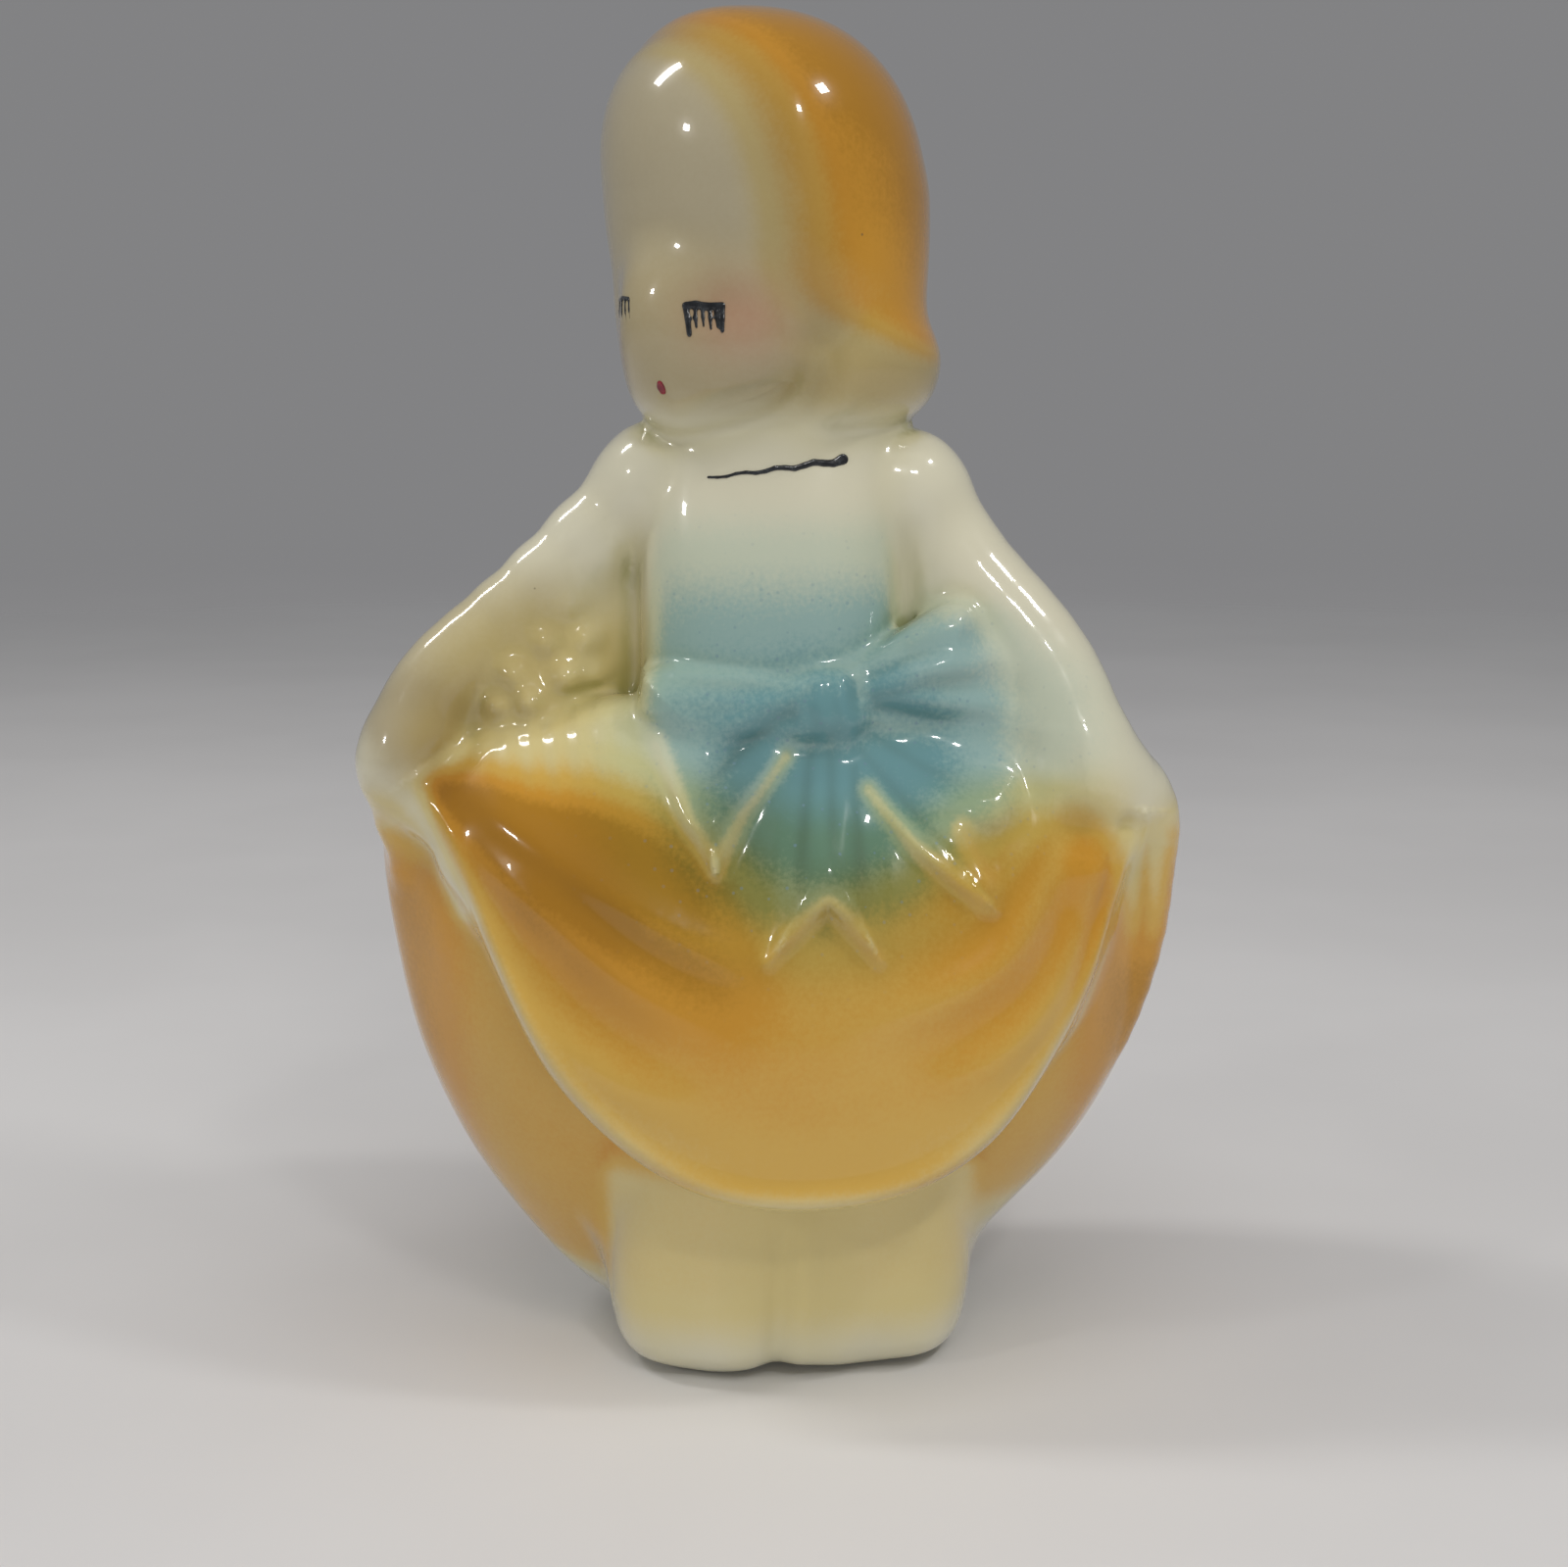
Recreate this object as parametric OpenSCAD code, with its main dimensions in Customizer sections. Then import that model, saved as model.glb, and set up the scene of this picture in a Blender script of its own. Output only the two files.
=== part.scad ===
// Ceramic girl planter: a slip-cast girl whose spread skirt is the pot.
// She faces -Y and stands on z = 0. Left and right are her own, so her right hand is at -X.
// The cast sections meet face to face, as pieces that are luted together with slip do.

/* [Skirt pot] */
// Outer width of the skirt pot at its widest
pot_w = 109; // [100:1:118]
// Reach of the pot behind the figure
pot_back = 38; // [33:1:44]
// Reach of the pot's belly in front of the figure
pot_front = 31; // [28:1:34]
// Height of the pot's flat rim
rim_h = 84; // [81:1:87]
// How far the rim is drawn in from the pot's side
rim_inset = 7; // [5:0.5:9]
// Height at which the pot is widest
belly_h = 71; // [68:1:74]
// Height at which the pot's front is fullest
swell_h = 55; // [51:1:59]
// Thickness of the cast wall
wall = 4.5; // [3.5:0.5:5.5]
// Thickness of the pot's floor
floor_t = 6; // [4:0.5:9]
// Width of the pot's own foot
foot_w = 36; // [33:1:40]
// Reach of the foot behind the figure
foot_back = 22; // [18:1:26]
// Reach of the foot in front, behind the underskirt
foot_front = 6; // [4:0.5:9]

/* [Underskirt] */
// Height up to which the underskirt's two lobes reach
under_h = 40; // [36:1:44]
// Half width of one lobe
lobe_w = 14.5; // [13:0.5:16]
// Distance between the middles of the lobes
lobe_pitch = 22; // [19:1:25]
// How far in front the lobe over her right leg stands
lobe_front = 27; // [25:0.5:29]
// How far the other lobe stands back from it
lobe_step = 3; // [0:0.5:5]

/* [Overskirt] */
// Height of the lowest point of the overskirt's hem
hem_h = 29; // [25:1:33]
// Sideways place of that lowest point
hem_x = 4; // [0:1:7]
// How far the hem stands out in front
hem_front = 38; // [36:0.5:40]
// Depth of the folds that fan from her hands
fold_depth = 1.1; // [0:0.1:2]

/* [Bodice] */
// Width of the bodice
torso_w = 34.5; // [32:0.5:37]
// Distance of the bodice's front behind the front of the pot's rim
torso_set = 2.9; // [2:0.1:4]
// Reach of her back behind
torso_back = 8; // [6:0.5:10]
// Height of the flat joint between neck and head
neck_h = 127; // [124:1:130]
// Drop of the shoulders below that joint
shoulder_drop = 9; // [7:0.5:11]
// Width of that joint
neck_w = 36; // [33:0.5:38]

/* [Head] */
// Width of the head
head_w = 41; // [38:0.5:44]
// Height of the head above the neck joint
head_h = 51; // [48:0.5:54]
// Reach of the head in front
head_front = 25; // [23:0.5:27]
// Reach of the head behind
head_back = 20; // [18:0.5:22]
// How far the face is turned to her right, in degrees
face_turn = 41; // [32:1:48]
// Thickness of the hair on the head
hair_t = 2; // [1.5:0.25:3]
// Radius of the roll at the ends of the hair
roll_r = 5; // [4:0.25:6]

/* [Arms] */
// Radius of the arm at the shoulder
shoulder_r = 7; // [6:0.25:8]
// Radius of the arm at the wrist
wrist_r = 5; // [4:0.25:6]
// Radius of a closed hand
hand_r = 5.5; // [4.5:0.25:6.5]
// Distance of her right hand in from the pot's side
right_hand_inset = 6; // [4:0.5:9]
// Distance of her left hand in from the pot's side
left_hand_inset = 9.5; // [7:0.5:12]
// How far forward she holds her right hand
right_hand_reach = 13; // [11:0.5:15]
// How far forward she holds her left hand
left_hand_reach = 15; // [13:0.5:17]
// Drop of her right hand below the rim
right_hand_drop = 1.5; // [0:0.5:3]
// Drop of her left hand below the rim
left_hand_drop = 6; // [4:0.5:8]

/* [Sash and bow] */
// Height of the sash above the rim
sash_rise = 6.5; // [5:0.5:9]
// Radius of the sash round the waist
sash_r = 3; // [2.5:0.25:4]
// Sideways place of the bow's knot
knot_x = 8; // [4:0.5:11]
// Radius of the knot
knot_r = 4.5; // [4:0.25:5.5]
// Radius of the rounded edges of the ribbon
ribbon_r = 1.8; // [1.4:0.1:2.4]

/* [Painted strokes] */
// Half width of a brush stroke of raised enamel
stroke_r = 0.45; // [0.3:0.05:0.7]
// Length of an eyelash
lash_l = 4; // [3:0.25:5]
// Width of a closed eyelid
lid_w = 5; // [4:0.25:6]

/* [Hidden] */

slice_t = 0.02;
pot_sides = 48;
right = -1;
left = 1;
front = 270;
cream = [0.93, 0.9, 0.76];
gold = [0.89, 0.66, 0.22];
blue = [0.45, 0.68, 0.72];
black = [0.08, 0.09, 0.1];
red = [0.6, 0.08, 0.12];

// Shared shapes

// A closed skin through flat rings of equally many points, each counter-clockwise seen from the last ring.
module loft(rings) {
  n = len(rings[0]);
  last = len(rings) - 1;
  sides = [
    for (j = [0:last - 1]) for (i = [0:n - 1])
      let (k = (i + 1) % n, a = j * n, b = (j + 1) * n)
        each [[a + i, b + i, b + k], [a + i, b + k, a + k]]
  ];
  ends = [[for (i = [0:n - 1]) i], [for (i = [n - 1:-1:0]) last * n + i]];
  polyhedron(points = [for (r = rings) each r], faces = concat(ends, sides));
}

// A bead of round section through points, with its own radius at each.
module bead(points, radii, sides = 12) {
  for (i = [0:len(points) - 2])
    hull() {
      translate(points[i]) sphere(r = radii[i], $fn = sides);
      translate(points[i + 1]) sphere(r = radii[i + 1], $fn = sides);
    }
}

// A ruled web of one thickness between two rows of equally many points.
module web(row_a, row_b, r, sides = 8) {
  for (i = [0:len(row_a) - 2])
    hull()
      for (p = [row_a[i], row_a[i + 1], row_b[i], row_b[i + 1]])
        translate(p) sphere(r = r, $fn = sides);
}

function mix(a, b, t) = a + (b - a) * t;
function curve(p, t) = mix(mix(p[0], p[1], t), mix(p[1], p[2], t), t);
function curve_points(p, n) = [for (i = [0:n]) curve(p, i / n)];
function level(v, n) = [for (i = [0:n]) v];
function bump(distance, reach) = exp(-pow(distance / reach, 2));
function turn_gap(a, b) = abs(((a - b) % 360 + 540) % 360 - 180);

// Pot: an oval bowl, wide at the hands and narrow at the foot

rim_w = pot_w - 2 * rim_inset;
belly_drop = belly_h / sqrt(1 - pow(foot_w / pot_w, 2));
rim_draw = (rim_h - belly_h) / sqrt(1 - pow(rim_w / pot_w, 2));
back_drop = belly_h / sqrt(1 - pow(foot_back / pot_back, 2));
lip_r = wall / 4;
outer_levels = [for (t = [0, 0.05, 0.12, 0.22, 0.34, 0.47, 0.6, 0.73, 0.86, 0.96]) t * (rim_h - lip_r)];
inner_levels = [for (t = [0.97, 0.84, 0.68, 0.52, 0.36, 0.22, 0.1, 0]) mix(floor_t, rim_h - lip_r, t)];

function pot_half_w(z) = pot_w / 2 * sqrt(1 - pow((z - belly_h) / (z > belly_h ? rim_draw : belly_drop), 2));
function pot_back_y(z) = pot_back * sqrt(1 - pow((z - belly_h) / back_drop, 2));
function pot_front_y(z) = foot_front + (pot_front - foot_front) * sin(90 * z / swell_h);
function pot_point(a, z, inset = 0) =
  let (reach = sin(a) < 0 ? pot_front_y(z) : pot_back_y(z))
    [(pot_half_w(z) - inset) * cos(a), (reach - inset) * sin(a), z];
function pot_ring(z, inset = 0) = [for (i = [0:pot_sides - 1]) pot_point(i * 360 / pot_sides, z, inset)];
// Depth of the pot's outside at a place on its front.
function pot_skin_y(x, z) = -pot_front_y(z) * sqrt(max(0, 1 - pow(x / pot_half_w(z), 2)));
// Angle on the rim of the front point that lies at this x.
function rim_angle(x) = -acos(x / (pot_half_w(rim_h) - wall / 2));

pot_outside = [for (z = concat(outer_levels, [rim_h - lip_r])) pot_ring(z)];
pot_inside = [for (z = inner_levels) pot_ring(z, wall)];

module pot_solid() {
  loft(concat(pot_outside, [pot_ring(rim_h, lip_r)]));
}

module planter_pot() {
  color(gold)
    loft(concat(pot_outside, [pot_ring(rim_h, lip_r), pot_ring(rim_h, wall - lip_r)], pot_inside));
}

// Underskirt: two rounded lobes in front of the pot's foot

lobe_d = lobe_front - foot_front;
lobe_x = hem_x - 1;
under_edge = 2;
lobe_levels = [
  [0, 1 - under_edge / lobe_w], [under_edge, 1], [under_h * 0.35, 1.02],
  [under_h * 0.7, 0.98], [under_h, 0.94]
];

module underskirt_lobe(side) {
  centre = [lobe_x + side * lobe_pitch / 2, side == left ? lobe_step : 0];
  for (i = [0:len(lobe_levels) - 2])
    hull()
      for (l = [lobe_levels[i], lobe_levels[i + 1]])
        translate([centre.x, centre.y - foot_front, min(l[0], under_h - slice_t)])
          scale([lobe_w * l[1], lobe_d * l[1], 1]) cylinder(r = 1, h = slice_t, $fn = 32);
}

module underskirt_form() {
  for (side = [right, left]) underskirt_lobe(side);
}

module underskirt() {
  color(cream) difference() {
    underskirt_form();
    pot_solid();
  }
}

// Overskirt: the front of the skirt, hung in a swag from hand to hand

right_hand = [-(pot_w / 2 - right_hand_inset), -right_hand_reach, rim_h - right_hand_drop];
left_hand = [pot_w / 2 - left_hand_inset, -left_hand_reach, rim_h - left_hand_drop];
swag_columns = 28;
swag_rows = 12;
swag_drop = 1.5;
swag_top = rim_h - swag_drop;
swag_skin = 2;
swag_core = foot_front;
swag_end = hand_r / 4;
right_dip = hand_r * 0.9;
left_dip = hand_r * 1.45;
hem_band = 3;
hem_gap = 6;
hem_rise = (rim_h - hem_gap - hem_h) / pow(right_hand.x - hem_x, 2);
fold_count = 2.6;
corner_l = 5.8;

function swag_x(i) = mix(right_hand.x - swag_end, left_hand.x + 2 * swag_end, i / swag_columns);
// The top edge dips to each hand.
function swag_top_z(x) =
  swag_top - right_dip * bump(x - right_hand.x, 1.6 * hand_r) - left_dip * bump(x - left_hand.x, 2.2 * hand_r);
function hem_z(x) = min(hem_h + hem_rise * pow(x - hem_x, 2), swag_top_z(x) - hem_band);
function fold_y(x, v) =
  fold_depth * sin(360 * fold_count * v - 60) * pow(abs(x - hem_x) / pot_w * 2, 0.6);
function swag_y(x, z, v, grow = 0) =
  let (
    round_off = sqrt(max(0.1, 1 - pow(x / (pot_w / 2 + swag_skin), 2))),
    hang = mix(torso_front, hem_front, sin(90 * pow(v, 0.75)))
  )
    min(-hang * round_off + fold_y(x, v), pot_skin_y(x, z) - swag_skin) - grow;
function swag_ring(x, grow = 0) = [
  for (j = [0:swag_rows]) let (v = j / swag_rows, z = mix(swag_top_z(x), hem_z(x), v)) [x, swag_y(x, z, v, grow), z],
  [x, -swag_core * 0.5, hem_z(x)],
  [x, -swag_core * 0.5, swag_top_z(x)]
];

module overskirt_form(grow = 0) {
  loft([for (i = [0:swag_columns]) swag_ring(swag_x(i), grow)]);
}

// The bunch of cloth that her left fist lets out to the side.
module cloth_corner() {
  bead(
    [left_hand + hand_r * [0, 0.36, -0.55], left_hand + [corner_l, hand_r * 0.73, -hand_r * 0.73]],
    [hand_r * 0.8, hand_r * 0.6]
  );
}

module overskirt() {
  color(gold) difference() {
    union() {
      overskirt_form();
      cloth_corner();
    }
    pot_solid();
    underskirt_form();
    hand_form(right_hand);
    hand_form(left_hand);
  }
}

// Bodice: a rounded barrel on the pot's front rim, drawn in to the neck

bodice_sides = 32;
torso_front = pot_front_y(rim_h) - torso_set;
shoulder_h = neck_h - shoulder_drop;
// Height, half width as a share of the bodice's, and reach as a share of the bodice's.
bodice_levels = [
  [rim_h, 0.97, 0.97], [mix(rim_h, shoulder_h, 0.3), 0.98, 1], [mix(rim_h, shoulder_h, 0.65), 1, 0.99],
  [shoulder_h, 1.02, 0.9], [mix(shoulder_h, neck_h, 0.55), 1.1, 0.84], [neck_h, neck_w / torso_w, 0.8]
];

oval_power = 2.4;

// How far a squarish oval reaches beyond an ellipse in this direction.
function oval_reach(a, p) = pow(pow(abs(cos(a)), p) + pow(abs(sin(a)), p), -1 / p);
function oval(w, f, b, z) = [
  for (i = [0:bodice_sides - 1])
    let (a = i * 360 / bodice_sides, k = oval_reach(a, oval_power))
      [w * cos(a) * k, (sin(a) < 0 ? f : b) * sin(a) * k, z]
];

module bodice_form() {
  loft([for (l = bodice_levels) oval(torso_w / 2 * l[1], torso_front * l[2], torso_back * l[2], l[0])]);
}

module bodice() {
  color(cream) bodice_form();
}

// Head: a tall dome with a small turned face

head_sides = 40;
head_x = -1.8;
dome_h = head_h * 0.5;
dome_power = 2.5;
face_angle = front - face_turn;
head_levels = [
  for (t = [0, 0.05, 0.11, 0.17, 0.23, 0.29, 0.36, 0.43, 0.51, 0.6, 0.69, 0.78, 0.86, 0.92, 0.965, 0.99, 0.999])
    neck_h + head_h * t
];

// Share of the head's full girth at a height.
function head_girth(z) =
  let (t = (z - neck_h - dome_h) / dome_h)
    t > 0 ? pow(1 - pow(t, dome_power), 1 / dome_power) : 1 - 0.2 * pow(-t, 1.1);
function face_relief(a, z) =
  let (gap = turn_gap(a, face_angle), h = z - neck_h)
    head_h * (
      0.031 * bump(gap, 9) * bump(h - head_h * 0.2, head_h * 0.05)
      + 0.027 * bump(gap - 38, 20) * bump(h - head_h * 0.13, head_h * 0.08)
      + 0.024 * bump(gap, 16) * bump(h - head_h * 0.03, head_h * 0.05)
      - 0.016 * bump(gap - 22, 10) * bump(h - head_h * 0.25, head_h * 0.05)
    );
function head_point(a, z, grow = 0) =
  let (
    g = head_girth(z),
    r = face_relief(a, z) + grow * g,
    reach = sin(a) < 0 ? head_front : head_back
  )
    [head_x + (head_w / 2 * g + r) * cos(a), (reach * g + r) * sin(a), z];
function head_ring(z, grow = 0) = [for (i = [0:head_sides - 1]) head_point(i * 360 / head_sides, z, grow)];

// Rings of the head, or of a copy of it that is thicker all over.
function head_rings(grow = 0) = [
  for (z = head_levels) [for (p = head_ring(z, grow)) [p.x, p.y, z + grow * pow((z - neck_h) / head_h, 3)]]
];

module head_form(grow = 0) {
  loft(head_rings(grow));
}

module head() {
  color(cream) head_form();
}

// Hair: a smooth bob over the back and her left side, rolled at the ends

roll_h = neck_h + roll_r * 1.5;
roll_angles = [for (i = [0:12]) -50 + i * 17.5];
hairline = 11;
hairline_lean = 10;

module hair_cap() {
  intersection() {
    head_form(hair_t);
    translate([head_x, 0, roll_h]) rotate([0, 0, face_angle]) rotate([0, -hairline_lean, 0])
      translate([-2 * head_w, -head_w, -head_h * 0.03]) cube([2 * head_w + hairline, 2 * head_w, 2 * head_h]);
  }
}

module hair() {
  color(gold) difference() {
    union() {
      hair_cap();
      bead(
        [for (a = roll_angles) head_point(a, roll_h, roll_r * (0.65 * bump(turn_gap(a, 0), 50) - 0.35))],
        [for (a = roll_angles) roll_r * (0.8 + 0.25 * bump(turn_gap(a, 0), 60))], 10
      );
    }
    head_form();
    bodice_form();
    for (side = [right, left]) arm_form(side);
  }
}

// Arms, hands and the gussets between arms and bodice

arm_steps = 9;
shoulder_reach = torso_front * 0.2;
elbow_reach = torso_front * 0.4;
right_shoulder = [-(torso_w / 2 + shoulder_r * 0.15), -shoulder_reach, shoulder_h - shoulder_r * 0.3];
left_shoulder = [torso_w / 2 + shoulder_r * 0.5, -shoulder_reach, shoulder_h - shoulder_r * 0.5];
right_arm_line = [right_shoulder, [right_hand.x * 0.9, -elbow_reach, mix(shoulder_h, rim_h, 0.62)], right_hand];
left_arm_line = [left_shoulder, [left_hand.x * 0.78, -elbow_reach, mix(shoulder_h, rim_h, 0.55)], left_hand];

function arm_line(side) = side == left ? left_arm_line : right_arm_line;

module arm_form(side) {
  points = curve_points(arm_line(side), arm_steps);
  bead(points, [for (i = [0:arm_steps]) mix(shoulder_r, wrist_r, i / arm_steps)]);
}

// A fist: a palm and four knuckles that close on the cloth.
module hand_form(place) {
  translate(place) {
    sphere(r = hand_r, $fn = 16);
    for (i = [0:3])
      hull() {
        translate([(i - 1.5) * hand_r * 0.42, -hand_r * 0.62, hand_r * 0.1]) sphere(r = hand_r * 0.36, $fn = 8);
        translate([(i - 1.5) * hand_r * 0.36, -hand_r * 0.5, -hand_r * 0.65]) sphere(r = hand_r * 0.3, $fn = 8);
      }
  }
}

module arm(side) {
  color(cream) difference() {
    arm_form(side);
    bodice_form();
    pot_solid();
    hand_form(side == left ? left_hand : right_hand);
  }
}

module right_arm() {
  arm(right);
}

module left_arm() {
  arm(left);
}

module hand(place) {
  color(cream) difference() {
    hand_form(place);
    pot_solid();
    for (side = [right, left]) underskirt_lobe(side);
  }
}

module right_hand() {
  hand(right_hand);
}

module left_hand() {
  hand(left_hand);
}

module gusset_form(side, steps) {
  place = side == left ? left_hand : right_hand;
  inner_x = side * torso_w / 2 * 0.75;
  outer_x = place.x - side * hand_r * 1.7;
  armpit = [inner_x, arm_line(side)[0].y, shoulder_h - shoulder_r / 2];
  foot = [for (i = [0:steps]) pot_point(rim_angle(mix(inner_x, outer_x, i / steps)), rim_h, wall / 2)];
  web(concat([armpit], curve_points(arm_line(side), steps)), concat([foot[0]], foot), wall / 2);
}

module gusset(side) {
  color(cream) difference() {
    gusset_form(side, arm_steps);
    arm_form(side);
    hand_form(side == left ? left_hand : right_hand);
    bodice_form();
    pot_solid();
    overskirt_form();
  }
}

module right_gusset() {
  gusset(right);
}

module left_gusset() {
  gusset(left);
}

// Sash and bow

sash_h = rim_h + sash_rise;
knot = [knot_x, -torso_front - knot_r * 0.22, sash_h + knot_r * 0.22];
sash_steps = 12;

// Point on the bodice's front at waist height, from her right side to her left.
function waist_point(t) =
  let (a = mix(229, 311, t), k = oval_reach(a, oval_power))
    [torso_w / 2 * cos(a) * k, torso_front * sin(a) * k, sash_h];

module sash_form() {
  bead(
    [for (i = [0:sash_steps]) waist_point(i / sash_steps)],
    [for (i = [0:sash_steps]) sash_r * (0.45 + 0.55 * sin(180 * i / sash_steps))], 10
  );
}

module body_forms() {
  bodice_form();
  pot_solid();
  overskirt_form();
}

module knot_form() {
  translate(knot) scale([1, 0.9, 1.15]) sphere(r = knot_r, $fn = 20);
}

module sash() {
  color(blue) difference() {
    sash_form();
    body_forms();
    for (side = [right, left]) {
      arm_form(side);
      gusset_form(side, arm_steps);
    }
  }
}

module bow_knot() {
  color(blue) difference() {
    knot_form();
    body_forms();
    sash_form();
  }
}

// A pleated ribbon: ribs that fan from the knot over the body's surface to points of its outer edge.
module ribbon_form(corners) {
  root = ribbon_root(corners);
  inner = edge_points(corners, 0.4);
  middle = edge_points(corners, 0.7);
  edge = edge_points(corners, 1);
  for (i = [0:len(edge) - 2])
    for (patch = [
      [root, inner[i], inner[i + 1]],
      [inner[i], inner[i + 1], middle[i], middle[i + 1]],
      [middle[i], middle[i + 1], edge[i], edge[i + 1]]
    ])
      hull() for (p = patch) translate(p) sphere(r = ribbon_r, $fn = 8);
}

// Where a ribbon leaves the knot: inside it, on the ribbon's own side.
function ribbon_root(corners) =
  let (way = sum(corners), u = way / norm(way)) knot + knot_r * 0.45 * [u.x, 0, u.y];
function sum(list, i = 0) = i == len(list) - 1 ? list[i] : list[i] + sum(list, i + 1);

// A place on the overskirt's or the bodice's front at this x and height, at ribbon level.
function front_point(x, z) =
  let (v = (swag_top_z(x) - z) / (swag_top_z(x) - hem_z(x)))
    [x, (v < 0 ? -torso_front * sqrt(1 - pow(x / pot_w * 2, 2)) : swag_y(x, z, min(1, v))) - ribbon_r * 0.7, z];
function edge_points(corners, share, n = 2) = [
  for (c = [0:len(corners) - 2]) for (i = [0:n - 1]) edge_point(mix(corners[c], corners[c + 1], i / n), share),
  edge_point(corners[len(corners) - 1], share)
];
function edge_point(offset, share) = front_point(knot.x + offset.x * share, knot.z + offset.y * share);

// Corners of each ribbon's outer edge, as offsets from the knot to the side and up.
right_loop_corners = [[-20, 0], [-22, -6], [-14, -20], [-4, -14]];
left_loop_corners = [[8, 4], [19, 8], [25, 3], [24, -3]];
lower_loop_corners = [[22, -6.5], [25, -11], [18, -14]];
left_tail_corners = [[16.5, -15.5], [19, -25], [9, -17]];
centre_tail_corners = [[-8, -31], [0, -24], [6, -31]];

module ribbon(corners) {
  color(blue) difference() {
    ribbon_form(corners);
    body_forms();
    sash_form();
    knot_form();
    children();
  }
}

module bow_right_loop() {
  ribbon(right_loop_corners);
}

module bow_left_loop() {
  ribbon(left_loop_corners) {
    arm_form(left);
    gusset_form(left, arm_steps);
  }
}

module bow_lower_loop() {
  ribbon(lower_loop_corners) {
    arm_form(left);
    gusset_form(left, arm_steps);
    hand_form(left_hand);
    ribbon_form(left_loop_corners);
  }
}

module bow_left_tail() {
  ribbon(left_tail_corners) {
    hand_form(left_hand);
    ribbon_form(lower_loop_corners);
  }
}

module bow_centre_tail() {
  ribbon(centre_tail_corners) {
    ribbon_form(left_tail_corners);
    ribbon_form(right_loop_corners);
  }
}

// Painted strokes of raised enamel

eye_h = neck_h + head_h * 0.285;
mouth_h = neck_h + head_h * 0.085;
lashes = 5;

module lash_strokes(side) {
  middle = face_angle + side * 22;
  half_turn = lid_w / head_front * 28;
  lid = [for (i = [0:4]) head_point(middle + mix(-half_turn, half_turn, i / 4), eye_h)];
  bead(lid, level(stroke_r, 4), 8);
  for (i = [0:lashes - 1])
    let (a = middle + mix(-half_turn, half_turn, i / (lashes - 1)))
      bead([head_point(a, eye_h), head_point(a, eye_h - lash_l)], [stroke_r, stroke_r * 0.8], 8);
}

module eyelashes(side) {
  color(black) difference() {
    lash_strokes(side);
    head_form();
  }
}

module right_eyelashes() {
  eyelashes(right);
}

module left_eyelashes() {
  eyelashes(left);
}

module mouth() {
  dab = [for (i = [0:8]) head_point(face_angle, mouth_h + (i - 4) * stroke_r * 0.45)];
  color(red) difference() {
    bead(dab, [for (i = [0:8]) stroke_r * (2 - 0.06 * pow(i - 4, 2))], 8);
    head_form();
  }
}

neckline_steps = 10;
neckline_w = 17;

module neckline() {
  points = [
    for (i = [0:neckline_steps])
      let (
        t = i / neckline_steps,
        x = neckline_w * mix(-0.44, 0.56, t),
        z = mix(shoulder_h, neck_h, mix(0.2, 0.44, t)) + stroke_r * 0.55 * sin(900 * t)
      )
        [x, bodice_front_y(x, z), z]
  ];
  color(black) difference() {
    bead(points, [for (i = [0:neckline_steps]) stroke_r * mix(0.7, 1.5, i / neckline_steps)], 8);
    bodice_form();
    head_form();
  }
}

// Depth of the bodice's front above the shoulders.
function bodice_front_y(x, z) =
  let (
    low = bodice_levels[3],
    high = bodice_levels[4],
    t = (z - low[0]) / (high[0] - low[0]),
    w = torso_w / 2 * mix(low[1], high[1], t),
    f = torso_front * mix(low[2], high[2], t)
  )
    -f * pow(1 - pow(abs(x) / w, oval_power), 1 / oval_power);

planter_pot();
underskirt();
overskirt();
bodice();
head();
hair();
right_arm();
left_arm();
right_hand();
left_hand();
right_gusset();
left_gusset();
sash();
bow_knot();
bow_right_loop();
bow_left_loop();
bow_lower_loop();
bow_centre_tail();
bow_left_tail();
right_eyelashes();
left_eyelashes();
mouth();
neckline();
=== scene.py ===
"""Ceramic girl planter: a slip-cast, airbrushed and glazed figure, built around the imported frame.

The figure is sculpted as one smooth distance field in millimetres, so that every joint is filled the way
glaze fills it. The skin is then cut into one closed cast section for each CAD node. Here x runs to her left,
y to her back and z up. The front view is x and z.
"""
import math

import bpy
import numpy as np
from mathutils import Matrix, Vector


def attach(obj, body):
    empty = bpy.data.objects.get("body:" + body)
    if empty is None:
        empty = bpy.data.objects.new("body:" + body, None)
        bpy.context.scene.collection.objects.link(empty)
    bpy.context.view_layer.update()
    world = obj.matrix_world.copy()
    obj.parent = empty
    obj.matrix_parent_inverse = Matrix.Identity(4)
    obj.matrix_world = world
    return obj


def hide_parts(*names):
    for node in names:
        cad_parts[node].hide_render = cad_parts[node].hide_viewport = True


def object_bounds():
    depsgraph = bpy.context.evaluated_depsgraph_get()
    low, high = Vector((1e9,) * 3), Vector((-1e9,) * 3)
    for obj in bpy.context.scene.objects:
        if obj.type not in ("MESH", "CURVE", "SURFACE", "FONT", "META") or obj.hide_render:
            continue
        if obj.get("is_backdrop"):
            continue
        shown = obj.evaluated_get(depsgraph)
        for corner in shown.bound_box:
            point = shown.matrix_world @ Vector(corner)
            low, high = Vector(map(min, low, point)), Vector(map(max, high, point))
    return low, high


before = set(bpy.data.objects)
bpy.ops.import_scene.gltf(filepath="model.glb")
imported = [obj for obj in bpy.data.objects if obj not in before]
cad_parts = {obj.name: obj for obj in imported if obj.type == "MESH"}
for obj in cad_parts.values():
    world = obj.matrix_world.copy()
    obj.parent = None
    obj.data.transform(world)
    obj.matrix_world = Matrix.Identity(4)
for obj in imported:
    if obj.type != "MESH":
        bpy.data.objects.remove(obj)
cad_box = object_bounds()

MM = 0.001
FAR, TINY = 60.0, 1e-9
SKIN_STEP = 1.05
STROKE_STEP = 0.13


# Small tools on arrays of points

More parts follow.
